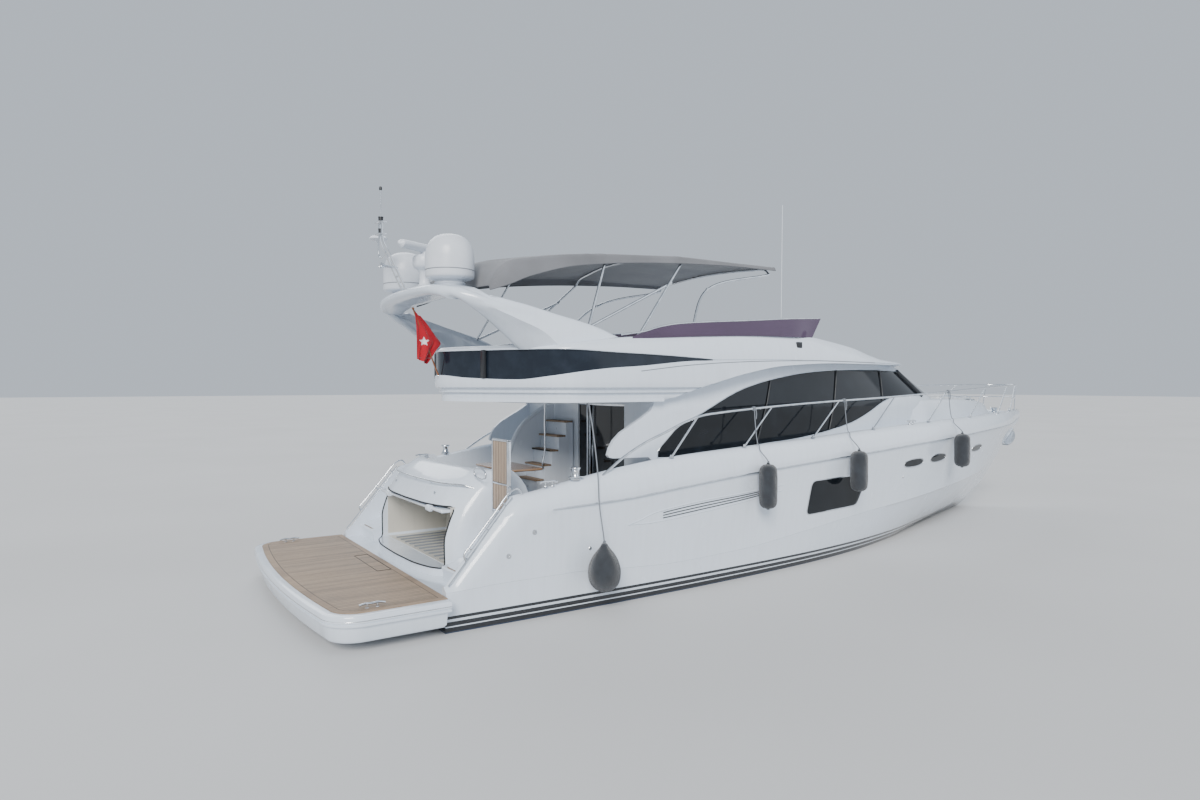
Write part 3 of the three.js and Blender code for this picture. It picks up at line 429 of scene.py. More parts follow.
def noise(look, vector, scale, detail=4.0, roughness=0.5):
    made = node(look, "TexNoise")
    feed(look, made, ("Scale", scale), ("Detail", detail), ("Roughness", roughness), ("Vector", vector))
    return made.outputs["Fac"]


def ramp(look, value, stops, how="LINEAR"):
    made = node(look, "ValToRGB")
    made.color_ramp.interpolation = how
    band = made.color_ramp.elements
    while len(band) < len(stops):
        band.new(0.5)
    for element, (place, colour) in zip(band, stops):
        element.position = place
        element.color = (*colour, 1) if len(colour) == 3 else colour
    link(look, value, made.inputs["Fac"])
    return made.outputs["Color"]


def grey(value):
    return (value, value, value)


def toned(colour, factor):
    return tuple(min(1, c * factor) for c in colour)


def shader_of(look):
    return look.node_tree.nodes["Principled BSDF"]


def drive(look, source, socket="Base Color"):
    """Lets a pattern set the look's colour, or another of its values."""
    link(look, source, shader_of(look).inputs[socket])


def bumped(look, height, strength, distance=0.002):
    made = node(look, "Bump")
    feed(look, made, ("Strength", strength), ("Distance", distance), ("Height", height))
    link(look, made.outputs["Normal"], shader_of(look).inputs["Normal"])


def mixed(look, factor, first, second, blend="MIX"):
    made = node(look, "Mix", data_type="RGBA", blend_type=blend)
    return feed(look, made, (0, factor), (6, first), (7, second)).outputs[2]


def computed(look, operation, *values):
    return feed(look, node(look, "Math", operation=operation), *enumerate(values)).outputs[0]


def wave(look, value, length):
    """A sine along a value, with one swing in each length."""
    return computed(look, "SINE", computed(look, "MULTIPLY", value, 2 * pi / length))


def split(look, vector):
    return feed(look, node(look, "SeparateXYZ"), (0, vector)).outputs


WHITE = (0.72, 0.79, 0.88)


def gelcoat(name, colour=WHITE, roughness=0.16):
    """Polished moulding: faint colour drift, rain streaks that run down, and a slight orange peel."""
    look = finish(name, colour, roughness, coat=0.6)
    spots = places(look)
    streaks = noise(look, places(look, (9, 9, 0.9)), 1.6, 6)
    drift = noise(look, spots, 0.35, 2)
    low, high = toned(colour, 0.965), colour
    tone = ramp(look, streaks, [(0.3, low), (0.55, high)])
    shade = ramp(look, drift, [(0.3, grey(0.96)), (0.7, grey(1.0))])
    drive(look, mixed(look, 1.0, tone, shade, "MULTIPLY"))
    peel = noise(look, spots, 60, 2)
    drive(look, ramp(look, noise(look, spots, 3, 5), [(0.35, grey(roughness * 0.8)),
        (0.75, grey(roughness * 1.9))]), "Roughness")
    bumped(look, peel, 0.05, 0.001)
    return look


def hull_gelcoat():
    """White topsides over a black boot top with two bright lines, and dark antifouling below the water."""
    look = gelcoat("hull_gelcoat")
    shader = shader_of(look)
    topside = shader.inputs["Base Color"].links[0].from_socket
    height = split(look, places(look))[2]
    level = computed(look, "DIVIDE", computed(look, "ADD", height, 1.0), 2.0)

    def stop(z):
        return (z + 1.0) / 2.0
    dark, bright, foul = (0.012, 0.014, 0.018), (0.62, 0.68, 0.76), (0.02, 0.035, 0.07)
    bands = ramp(look, level, [(0, foul), (stop(0.015), dark), (stop(0.065), bright), (stop(0.085), dark),
        (stop(0.14), bright), (stop(0.165), dark)], "CONSTANT")
    above = ramp(look, level, [(0, grey(0)), (stop(0.205), grey(1))], "CONSTANT")
    link(look, mixed(look, above, bands, topside), shader.inputs["Base Color"])
    return look


def dark_glass(name, colour=(0.006, 0.008, 0.011), roughness=0.05):
    """Deep tinted glass with a faint film of dust in patches."""
    look = finish(name, colour, roughness, coat=0.15, ior=1.45)
    shader_of(look).inputs["Specular IOR Level"].default_value = 0.32
    spots = places(look)
    dust = noise(look, spots, 5, 6)
    drive(look, ramp(look, dust, [(0.45, colour), (0.85, tuple(c * 1.5 + 0.002 for c in colour))]))
    drive(look, ramp(look, dust, [(0.4, grey(roughness)), (0.8, grey(roughness + 0.08))]), "Roughness")
    return look


def steel(name="stainless", roughness=0.14):
    """Polished stainless tube with fine drawn lines."""
    look = finish(name, (0.78, 0.8, 0.83), roughness, metallic=1.0)
    fine = noise(look, places(look, (1, 1, 30)), 40, 3)
    drive(look, ramp(look, fine, [(0.3, grey(roughness * 0.7)), (0.7, grey(roughness * 1.8))]), "Roughness")
    drive(look, ramp(look, noise(look, places(look), 8, 4), [(0.3, (0.62, 0.65, 0.69)),
        (0.7, (0.84, 0.86, 0.88))]))
    return look


def teak(name, board=0.06, seam=0.006, along="x", colour=(0.33, 0.235, 0.155)):
    """Laid planks: dark caulked seams, grain along each board and a tone of its own for every board."""
    look = finish(name, colour, 0.62)
    spots = places(look)
    x, y, _ = split(look, spots)
    across = {"x": y, "y": x, "z": y}[along]
    number = computed(look, "DIVIDE", across, board)
    place = computed(look, "FRACT", computed(look, "ADD", number, 1000.5))
    edge = computed(look, "ABSOLUTE", computed(look, "SUBTRACT", place, 0.5))
    caulk = computed(look, "GREATER_THAN", edge, 0.5 - seam / board / 2)
    whole = computed(look, "FLOOR", computed(look, "ADD", number, 1000.5))
    own = node(look, "TexWhiteNoise", noise_dimensions="1D")
    link(look, whole, own.inputs["W"])
    stretch = {"x": (2, 45, 45), "y": (45, 2, 45), "z": (45, 45, 2)}[along]
    grain = noise(look, places(look, stretch), 1.6, 8, 0.65)
    wood = ramp(look, grain, [(0.25, toned(colour, 0.62)), (0.5, colour), (0.8, toned(colour, 1.35))])
    tint = ramp(look, own.outputs["Value"], [(0, grey(0.8)), (1, grey(1.12))])
    grown = mixed(look, 1.0, wood, tint, "MULTIPLY")
    weather = ramp(look, noise(look, spots, 0.9, 4), [(0.35, (1, 1, 1)), (0.75, (0.8, 0.84, 0.9))])
    worn = mixed(look, 1.0, grown, weather, "MULTIPLY")
    drive(look, mixed(look, caulk, worn, (0.012, 0.011, 0.01)))
    height = computed(look, "SUBTRACT", computed(look, "MULTIPLY", grain, 0.4), caulk)
    bumped(look, height, 0.5, 0.002)
    return look


def varnished(name, colour=(0.27, 0.165, 0.095)):
    look = finish(name, colour, 0.26, coat=0.5)
    grain = noise(look, places(look, (3, 40, 40)), 1.4, 8, 0.6)
    drive(look, ramp(look, grain, [(0.25, toned(colour, 0.5)), (0.55, colour), (0.85, toned(colour, 1.5))]))
    bumped(look, grain, 0.08, 0.001)
    return look


def cloth(name, colour, pitch=0.004, fuzz=0.35):
    """Woven cover: warp and weft threads, slight fading and sheen."""
    look = finish(name, colour, 0.92)
    feed(look, shader_of(look), ("Sheen Weight", fuzz), ("Sheen Roughness", 0.4))
    spots = places(look)
    x, y, z = split(look, spots)
    warp = wave(look, computed(look, "ADD", x, z), pitch)
    weft = wave(look, computed(look, "SUBTRACT", y, z), pitch)
    weave = computed(look, "MULTIPLY", warp, weft)
    fade = ramp(look, noise(look, spots, 1.4, 5), [(0.3, toned(colour, 0.82)), (0.7, toned(colour, 1.12))])
    thread = ramp(look, computed(look, "ADD", computed(look, "MULTIPLY", weave, 0.5), 0.5),
        [(0, grey(0.88)), (1, grey(1.06))])
    drive(look, mixed(look, 1.0, fade, thread, "MULTIPLY"))
    bumped(look, weave, 0.35, 0.0008)
    return look


def vinyl(name, colour, roughness=0.48):
    """Marine seat vinyl with a fine pebbled grain and scuffed, slightly greyed wear."""
    look = finish(name, colour, roughness)
    spots = places(look)
    cells = node(look, "TexVoronoi", feature="DISTANCE_TO_EDGE")
    feed(look, cells, ("Scale", 420), ("Vector", spots))
    wear = noise(look, spots, 3.2, 6)
    drive(look, ramp(look, wear, [(0.3, toned(colour, 0.84)), (0.65, colour)]))
    drive(look, ramp(look, wear, [(0.3, grey(roughness + 0.14)), (0.7, grey(roughness - 0.08))]), "Roughness")
    bumped(look, cells.outputs["Distance"], 0.25, 0.0006)
    return look


def knit(name, colour=(0.016, 0.019, 0.024)):
    """Knitted fender cover: ribs of small loops."""
    look = finish(name, colour, 0.88)
    shader_of(look).inputs["Sheen Weight"].default_value = 0.4
    spots = places(look)
    x, y, z = split(look, spots)
    stitch = computed(look, "MULTIPLY", wave(look, z, 0.009), wave(look, computed(look, "ADD", x, y), 0.007))
    drive(look, ramp(look, noise(look, spots, 6, 5), [(0.3, colour), (0.8, toned(colour, 2.2))]))
    bumped(look, stitch, 0.6, 0.002)
    return look


def bronze(name="cast_bronze"):
    look = finish(name, (0.42, 0.27, 0.12), 0.38, metallic=0.9)
    spots = places(look)
    age = noise(look, spots, 7, 7)
    drive(look, ramp(look, age, [(0.3, (0.16, 0.15, 0.1)), (0.5, (0.4, 0.25, 0.11)),
        (0.8, (0.55, 0.36, 0.17))]))
    drive(look, ramp(look, age, [(0.3, grey(0.6)), (0.7, grey(0.28))]), "Roughness")
    bumped(look, noise(look, spots, 45, 4), 0.2, 0.001)
    return look


def plastic(name, colour, roughness=0.4, grain=0.12):
    """Moulded plastic with a fine texture and slight sun fading."""
    look = finish(name, colour, roughness)
    spots = places(look)
    drive(look, ramp(look, noise(look, spots, 2.5, 5), [(0.3, toned(colour, 0.88)), (0.7, colour)]))
    drive(look, ramp(look, noise(look, spots, 9, 4), [(0.3, grey(roughness * 0.85)),
        (0.7, grey(min(1, roughness * 1.25)))]), "Roughness")
    bumped(look, noise(look, spots, 180, 3), grain, 0.0008)
    return look


def tinted_acrylic(name="tinted_acrylic"):
    look = finish(name, (0.085, 0.04, 0.1), 0.05, coat=0.2, ior=1.49)
    shader_of(look).inputs["Transmission Weight"].default_value = 0.45
    drive(look, ramp(look, noise(look, places(look), 2.2, 3), [(0.4, (0.085, 0.04, 0.1)),
        (0.8, (0.105, 0.052, 0.12))]))
    return look


HULL_WHITE = hull_gelcoat()
GELCOAT = gelcoat("white_gelcoat")
NONSKID = gelcoat("deck_gelcoat", (0.66, 0.72, 0.8), 0.32)
GLASS = dark_glass("saloon_glass")
BAND_GLASS = dark_glass("flybridge_glass", (0.012, 0.017, 0.026), 0.08)
STEEL = steel()
DECK_TEAK = teak("deck_teak")
PLANK_TEAK = teak("plank_teak", board=0.078, seam=0.008, along="z", colour=(0.4, 0.3, 0.22))
TABLE_WOOD = varnished("table_wood")
STAFF_WOOD = varnished("staff_wood", (0.22, 0.08, 0.03))
TREAD_TEAK = teak("tread_teak", board=0.05, seam=0.005, along="y", colour=(0.36, 0.25, 0.16))
CREAM = gelcoat("garage_gelcoat", (0.62, 0.6, 0.54), 0.4)
CANOPY = cloth("canopy_cloth", (0.185, 0.19, 0.205))
MARGIN_TEAK = teak("margin_teak", board=0.3, seam=0.003, along="x", colour=(0.31, 0.215, 0.14))
CURTAIN = cloth("curtain_cloth", (0.1, 0.012, 0.018), 0.003)
CANOPY_TRIM = cloth("canopy_trim", (0.14, 0.145, 0.16))
FLAG = cloth("flag_cloth", (0.42, 0.006, 0.018), 0.0025)
painted = node(FLAG, "Attribute", attribute_name="mark")
red = shader_of(FLAG).inputs["Base Color"].links[0].from_socket
link(FLAG, mixed(FLAG, painted.outputs["Fac"], red, (0.7, 0.7, 0.72)), shader_of(FLAG).inputs["Base Color"])
SEAT = vinyl("white_vinyl", (0.66, 0.68, 0.7))
HELM_SEAT = vinyl("beige_vinyl", (0.34, 0.31, 0.27))
KNIT = knit("fender_cover")
BRONZE = bronze()
RADOME = plastic("radome", (0.7, 0.74, 0.8), 0.3, 0.06)
BLACK = plastic("black_plastic", (0.018, 0.02, 0.024), 0.42)
RUBBER = plastic("seal_rubber", (0.014, 0.015, 0.017), 0.65)
GREY = plastic("grey_plastic", (0.22, 0.24, 0.27), 0.45)
ACRYLIC = tinted_acrylic()
ROPE = cloth("fender_line", (0.2, 0.22, 0.25), 0.006, 0.1)


# Hull

STATIONS = [
    # x, keel z, foot y, chine y, chine z, knuckle y, knuckle z, gunwale y, gunwale z
    (-7.75, -0.640, 2.205, 2.265, 0.500, 2.330, 1.340, 2.290, 1.480),
    (-6.90, -0.680, 2.230, 2.290, 0.530, 2.360, 1.350, 2.320, 1.570),
    (-6.00, -0.710, 2.245, 2.305, 0.530, 2.390, 1.395, 2.350, 1.730),
    (-5.20, -0.735, 2.250, 2.312, 0.480, 2.410, 1.430, 2.370, 1.860),
    (-4.30, -0.755, 2.240, 2.310, 0.440, 2.425, 1.510, 2.385, 1.960),
    (-3.00, -0.780, 2.195, 2.292, 0.470, 2.435, 1.620, 2.395, 2.040),
    (-1.50, -0.800, 2.095, 2.265, 0.600, 2.435, 1.720, 2.395, 2.115),
    (0.00, -0.795, 1.892, 2.200, 0.740, 2.428, 1.810, 2.385, 2.205),
    (1.50, -0.755, 1.567, 2.090, 0.840, 2.385, 1.900, 2.345, 2.280),
    (3.00, -0.640, 1.160, 1.870, 0.935, 2.225, 1.965, 2.190, 2.325),
    (4.50, -0.420, 0.857, 1.530, 1.025, 1.935, 2.020, 1.905, 2.350),
    (5.70, -0.170, 0.650, 1.160, 1.105, 1.600, 2.045, 1.580, 2.365),
    (6.70, 0.090, 0.437, 0.780, 1.190, 1.225, 2.060, 1.215, 2.365),
    (7.50, 0.680, 0.258, 0.460, 1.290, 0.865, 2.070, 0.865, 2.355),
    (8.20, 1.260, 0.118, 0.210, 1.500, 0.525, 2.080, 0.535, 2.335),
    (8.75, 1.660, 0.048, 0.085, 1.800, 0.265, 2.085, 0.290, 2.305),
    (9.12, 1.920, 0.017, 0.030, 2.000, 0.105, 2.090, 0.135, 2.260),
    (9.30, 2.040, 0.007, 0.012, 2.070, 0.030, 2.110, 0.050, 2.215),
]
KEEL_Z, FOOT_Y, CHINE_Y, CHINE_Z, KNUCKLE_Y, KNUCKLE_Z, GUNWALE_Y, GUNWALE_Z = range(1, 9)


def hull(x, column):
    return at(STATIONS, x, column)


def ease(x, low, high):
    t = min(1.0, max(0.0, (x - low) / (high - low)))
    return t * t * (3 - 2 * t)


def topside(x, t):
    """A point of the topside, from the chine at 0 to the knuckle at 1."""
    y0, z0 = hull(x, CHINE_Y), hull(x, CHINE_Z)
    y1, z1 = hull(x, KNUCKLE_Y), hull(x, KNUCKLE_Z)
    step = 0.028 * ease(x, -6.45, -5.9) * ease(9.3 - x, 0.0, 0.5)
    full = t + 0.16 * t * (t - 1)
    return (y0 + (y1 - step - y0) * full, z0 + (z1 - z0) * t)


def hull_side(x, z):
    """Half breadth of the outer skin at a height on the topside."""
    z0, z1 = hull(x, CHINE_Z), hull(x, KNUCKLE_Z)
    return topside(x, (z - z0) / (z1 - z0))[0]


def hull_section(x):
    keel, cy, cz = hull(x, KEEL_Z), hull(x, CHINE_Y), hull(x, CHINE_Z)
    ky, kz, gy, gz = hull(x, KNUCKLE_Y), hull(x, KNUCKLE_Z), hull(x, GUNWALE_Y), hull(x, GUNWALE_Z)
    width = min(1.0, gy / 0.5)
    half = []
    foot_y, foot_z = hull(x, FOOT_Y), max(-0.12, keel + (cz - keel) * 0.45)
    full = 0.5 + 0.18 * ease(-foot_z, -0.02, 0.11)
    for i in range(1, 9):
        t = i / 8
        half.append((foot_y * t, keel + (foot_z - keel) * ((4 * full - 1) * t + (2 - 4 * full) * t * t)))
    for t in (0.15, 0.35, 0.55, 0.75, 0.93):
        half.append((foot_y + (cy - 0.008 * width - foot_y) * (t + 0.18 * t * (1 - t)),
            foot_z + (cz - foot_z) * t))
    half += [(cy - 0.006 * width, cz - min(0.004, 0.03 * (cz - foot_z))), (cy, cz)]
    half += [topside(x, t / 12) for t in range(1, 13)]
    side = topside(x, 1.0)[0]
    half += [(ky - (ky - side) * 0.2, kz + 0.004), (ky, kz + 0.016)]
    rise = gz - kz
    lean = 0.11 * width
    for t, out in ((0.25, 0.004), (0.5, 0.0), (0.7, -0.012), (0.85, -0.035), (0.95, -0.07)):
        half.append((ky + (gy - ky) * t + out * width, kz + 0.016 + (rise - 0.016) * t))
    half += [(gy - lean, gz), (gy - lean - 0.03 * width, gz + 0.002)]
    toe = 0.15 * ease(x, -5.1, -4.4) * ease(9.25 - x, 0, 0.6)
    inner = gy - lean - 0.055 * width
    half += [(inner, gz - 0.012), (inner - 0.004, gz - toe * 0.6 - 0.02),
        (inner - 0.02 * width, gz - toe - 0.02)]
    crown = 0.06 * gy / 2.435
    deck = gz - toe - 0.02
    for t in (0.85, 0.6, 0.3):
        half.append(((inner - 0.02) * t, deck + crown * (1 - t * t)))
    return keel, half, deck + crown


def hull_ring(x):
    keel, half, crown = hull_section(x)
    return ([(x, 0, keel)] + [(x, y, z) for y, z in half] + [(x, 0, crown)]
        + [(x, -y, z) for y, z in reversed(half)])


DIAGONAL = [(-7.71, 0.56), (-6.84, 1.575)]


def make_hull():
    marks = [-7.75 + 0.055 * i for i in range(28)]
    marks += [-6.21 + 0.13 * i for i in range(96)]
    marks += [6.35 + 0.1 * i for i in range(29)] + [9.22, 9.27, 9.3]
    piece = ringed("hull_moulding", [hull_ring(x) for x in marks])
    (x0, z0), (x1, z1) = DIAGONAL
    wedge = prism("wedge", [(-8.2, z0), (x0, z0), (x1, z1), (x1, 2.6), (-8.2, 2.6)], "y", -2.6, 2.6)
    trim(piece, wedge)
    wells = [
        ((-7.9, -2.12, 0.45), (-6.2, 2.12, 2.6)),
        ((-6.201, -2.13, 1.0), (-4.42, 2.13, 2.6)),
        ((-4.3, -1.78, 1.15), (1.2, 1.78, 2.6)),
        ((-4.43, -1.9, 1.09), (-4.28, 1.9, 2.6)),
    ]
    for low, high in wells:
        trim(piece, box("well", low, high))
    run = Vector((x1 - x0, 0, z1 - z0)).normalized()
    out = Vector((-run.z, 0, run.x))
    radius, pull = 0.25, 0.15
    for v in piece.data.vertices:
        if abs(v.co.y) < 2.14 or v.co.z < z0 - 0.3:
            continue
        depth = -(v.co - Vector((x0, 0, z0))).dot(out)
        upright = v.co.x - x1 if v.co.z > z1 else 9.0
        near = max(0.0, min(depth, upright if upright > 0 else depth))
        if near < radius:
            t = 1 - near / radius
            fade = ease(v.co.z, 0.45, 0.62)
            v.co.y -= copysign(pull * (1 - sqrt(max(0.0, 1 - t * t))) * fade, v.co.y)
            v.co.y = copysign(max(abs(v.co.y), 2.122), v.co.y)
    return finished(piece, HULL_WHITE, replaces="hull", angle=32)


make_hull()


# Swim platform

def rounded_plan(x0, x1, half, radius, bulge):
    """Plan of a platform: straight fore edge, rounded corners and a bowed aft edge."""
    points = [(x1, half)]
    for i in range(13):
        a = pi / 2 + pi / 2 * i / 12
        points.append((x0 + bulge + radius + radius * cos(a), half - radius + radius * sin(a)))
    for i in range(1, 24):
        y = (half - radius) * (1 - i / 12)
        points.append((x0 + bulge * (y / (half - radius)) ** 2, y))
    for i in range(13):
        a = pi + pi / 2 * i / 12
        points.append((x0 + bulge + radius + radius * cos(a), -half + radius + radius * sin(a)))
    return points + [(x1, -half)]


def stacked(name, plan, profile):
    """Layers of one plan, each drawn in by its own distance: rows of distance and height."""
    return ringed(name, [[(p[0], p[1], z) for p in drawn_in(plan, d)] for d, z in profile])


def make_platform():
    plan = rounded_plan(-9.3, -7.752, 2.435, 0.42, 0.13)
    base = stacked("platform_moulding", plan, [(0.11, 0.13), (0.075, 0.135), (0.05, 0.17), (0.04, 0.29),
        (0.03, 0.318), (0.005, 0.325), (0.0, 0.34), (0.0, 0.352), (0.012, 0.356), (0.012, 0.366),
        (0.0, 0.37), (0.0, 0.425), (0.008, 0.442), (0.025, 0.45), (0.06, 0.4502)])
    finished(base, GELCOAT, replaces="swim_platform")
    strip = rod("platform_rubbing_strip", [(-7.76, -2.431, 0.388)] + [(p[0], p[1], 0.388)
        for p in rounded_plan(-9.294, -7.78, 2.429, 0.42, 0.13)[::-1]] + [(-7.76, 2.431, 0.388)], 0.009)
    finished(strip, STEEL)
    lid = [(-8.05, -0.55), (-8.05, 0.55), (-7.86, 0.55), (-7.86, -0.55)]
    seam = rod("platform_locker_seam", [(x, y, 0.4625) for x, y in lid] + [(*lid[0], 0.4625)], 0.004)
    finished(seam, RUBBER)
    for i, y in enumerate((-2.19, 2.19)):
        cleat(f"platform_cleat_{i + 1}", (-8.62, y, 0.45), 0.3)


def cleat(name, foot, length, heading=0.0):
    """A horned mooring cleat on two feet."""
    half = length / 2
    parts = [rod(name, smooth([(-half, 0, 0.048), (-half * 0.55, 0, 0.062), (0, 0, 0.058),
        (half * 0.55, 0, 0.062), (half, 0, 0.048)], 21), 0.013)]
    for x in (-length * 0.2, length * 0.2):
        parts.append(turned("foot", [(0, 0), (0.026, 0), (0.024, 0.008), (0.013, 0.02), (0.012, 0.058),
            (0, 0.06)], (x, 0, 0), steps=20))
    piece = joined(name, parts)
    piece.data.transform(Matrix.Translation(foot) @ Matrix.Rotation(heading, 4, "Z"))
    return finished(piece, STEEL)


make_platform()


# Flybridge

FLY_PLAN = [(-6.94, 0.12), (-6.8, 0.52), (-6.58, 1.0), (-6.35, 1.5), (-6.11, 1.9), (-5.85, 2.1),
    (-5.5, 2.15), (-1.5, 2.15), (-0.3, 2.12), (0.6, 2.02), (1.4, 1.82), (2.0, 1.56), (2.5, 1.21),
    (2.85, 0.83), (3.08, 0.42), (3.15, 0.0)]
FLY_TOP = [(-6.95, 3.55), (-6.2, 3.55), (-5.01, 3.67), (-3.89, 3.745), (-2.41, 3.81), (-1.18, 3.805),
    (-0.72, 3.755), (0.0, 3.65), (0.57, 3.515), (1.06, 3.45), (2.4, 3.41), (3.2, 3.385)]
FLY_BASE = [(-7.0, 2.79), (-6.44, 2.74), (-4.4, 2.76), (-3.6, 2.96), (-2.74, 3.16), (-1.88, 3.29),
    (-0.5, 3.35), (3.2, 3.352)]
BAND_TOP = [(-6.95, 3.485), (-6.0, 3.475), (-5.2, 3.445), (-4.5, 3.425), (-3.9, 3.4), (-3.41, 3.372)]
BAND_LOW = [(-6.95, 3.14), (-6.75, 3.095), (-6.37, 3.07), (-6.15, 3.11), (-5.8, 3.17), (-5.26, 3.23),
    (-4.81, 3.26), (-3.88, 3.345), (-3.41, 3.368)]
COAMING = [(-6.95, 0.155), (-5.7, 0.24), (-5.45, 0.26), (-4.8, 0.26), (-4.5, 0.14), (-3.7, 0.14),
    (-3.0, 0.41), (-1.4, 0.41), (0.0, 0.41), (3.2, 0.3)]
SOLE_Z = 3.1
STAIR_HATCH = ((-5.56, 0.24, 2.6), (-4.42, 1.0, 3.3))
BAND_END = -3.41


def fly_loop(count=220):
    """The flybridge's outline as places with their outward direction."""
    half = [(x, -y, 0) for x, y in FLY_PLAN[:-1]]
    loop = half + [(3.15, 0, 0)] + [(x, -y, 0) for x, y, _ in reversed(half)]
    path = smooth(loop, count, closed=True)
    out = []
    for i, p in enumerate(path):
        along = (path[(i + 1) % count] - path[i - 1]).normalized()
        out.append((p, Vector((along.y, -along.x, 0))))
    return out


def fly_section(x):
    """Distance inboard and height, from the foot of the inner side over the top and down to the soffit."""
    top, base = at(FLY_TOP, x), at(FLY_BASE, x)
    upper, lower = at(BAND_TOP, x), at(BAND_LOW, x)
    if x > BAND_END:
        upper = lower = at([(BAND_END, 3.37), (-1.8, 3.4), (3.2, 3.368)], x)
    upper, lower = min(upper, top - 0.012), min(lower, top - 0.014)
    wide = at(COAMING, x)
    thick = top - base
    foot = max(3.04, base + thick * 0.35) if x < -3.2 else base + thick * 0.35
    lean = min(0.1, (top - upper) * 0.32)
    deep = min(0.045, max(0.0, (upper - lower) * 0.6))
    r = min(0.03, thick * 0.2)
    rows = [(wide, foot), (wide - 0.005, top - r), (wide - 0.02, top - r * 0.25), (wide - 0.045, top),
        (lean + 0.055, top), (lean + 0.025, top - r * 0.3), (lean + 0.006, top - r)]
    for t in (0.75, 0.5, 0.3, 0.12):
        z = upper + (top - r - upper) * t
        rows.append((lean * t ** 1.6 - 0.004 * sin(pi * t), z))
    rows += [(0.001, upper + 0.006), (0.008, upper), (deep + 0.002, upper - 0.002),
        (deep + 0.002, lower + 0.002), (0.01, lower), (0.001, lower - 0.008)]
    flare = [(0.0, 3.05), (0.004, 3.0), (0.016, 2.96), (0.04, 2.945), (0.075, 2.94), (0.08, 2.905),
        (0.062, 2.9), (0.066, 2.885), (0.11, 2.878), (0.112, 2.85), (0.1, 2.845), (0.104, 2.8),
        (0.118, 2.765), (0.15, 2.745)]
    left = len(flare)
    for d, z in flare:
        z_fit = max(z, base + 0.0008 * left) if z < lower - 0.01 else lower - 0.01 - 0.0004 * (15 - left)
        z_fit = min(z_fit, lower - 0.0095 - 0.0002 * (15 - left))
        shrink = 1.0 if base < 2.8 else max(0.25, 1 - (base - 2.8) * 2.4)
        rows.append((d * shrink, max(z_fit, base + 0.0004 * left)))
        left -= 1
    rows += [(0.19, base), (0.5, base)]
    return rows


def make_flybridge():
    rings = []
    for p, out in fly_loop():
        ring = []
        for d, z in fly_section(p.x):
            limit = max(0.02, abs(p.y) * 0.92) if p.x > 0 else 9.0
            ring.append((p.x - out.x * min(d, limit), p.y - out.y * min(d, limit), z))
        rings.append(ring)
    rim = laid("flybridge_coaming", [ring + [ring[0]] for ring in rings + [rings[0]]])
    same_way(rim, 1e-5)
    rows = []
    marks = [-0.9 + 0.08 * i for i in range(50)] + [3.06]
    for x in marks:
        w = max(0.05, at(FLY_PLAN, x) - 0.17)
        top, base = at(FLY_TOP, x), at(FLY_BASE, x)
        upper = [(x, w * c, top + 0.045 * (1 - c * c) * min(1, w / 1.2) - 0.006)
            for c in [1 - 2 * k / 24 for k in range(25)]]
        rows.append(upper + [(x, -w, base + 0.012), (x, 0, base + 0.012), (x, w, base + 0.012)])
    roof = ringed("flybridge_brow", rows)
    front = smooth([(-3.0, -1.74), (-1.4, -1.74), (-0.7, -1.6), (-0.3, -1.2), (-0.2, 0), (-0.3, 1.2),
        (-0.7, 1.6), (-1.4, 1.74), (-3.0, 1.74)], 80)
    trim(roof, prism("well", front, "z", SOLE_Z, 4.2))
    plan = [p for p, _ in fly_loop(160)]
    inner = drawn_in([(p.x, p.y) for p in plan], 0.1)
    aft = [(min(p.x, -4.3), p.y) for p in inner if p.x < -4.2]
    soffit = prism("soffit", aft, "z", 2.752, 2.8)
    sole_plan = []
    for p in drawn_in([(p.x, p.y) for p in plan], 0.13):
        if p.x < -3.2:
            sole_plan.append((p.x, p.y))
    sole_plan += [(-3.0, 1.76), (-0.3, 1.72), (0.4, 1.2), (0.5, 0), (0.4, -1.2), (-0.3, -1.72), (-3.0, -1.76)]
    ordered = sorted(sole_plan, key=lambda q: atan2(q[1], q[0] + 3.2))
    sole = prism("flybridge_sole", ordered, "z", 3.01, SOLE_Z)
    for part in (soffit, sole):
        trim(part, box("hatch", *STAIR_HATCH))
    piece = joined("flybridge_moulding", [rim, roof, soffit])
    finished(piece, GELCOAT, replaces="flybridge", angle=30)
    finished(sole, NONSKID)
    lining = box("stair_hatch_lining", (-5.575, 0.225, 2.755), (-4.405, 1.015, 3.112), 0.01, 2)
    trim(lining, box("hatch", *STAIR_HATCH))
    finished(lining, GELCOAT)


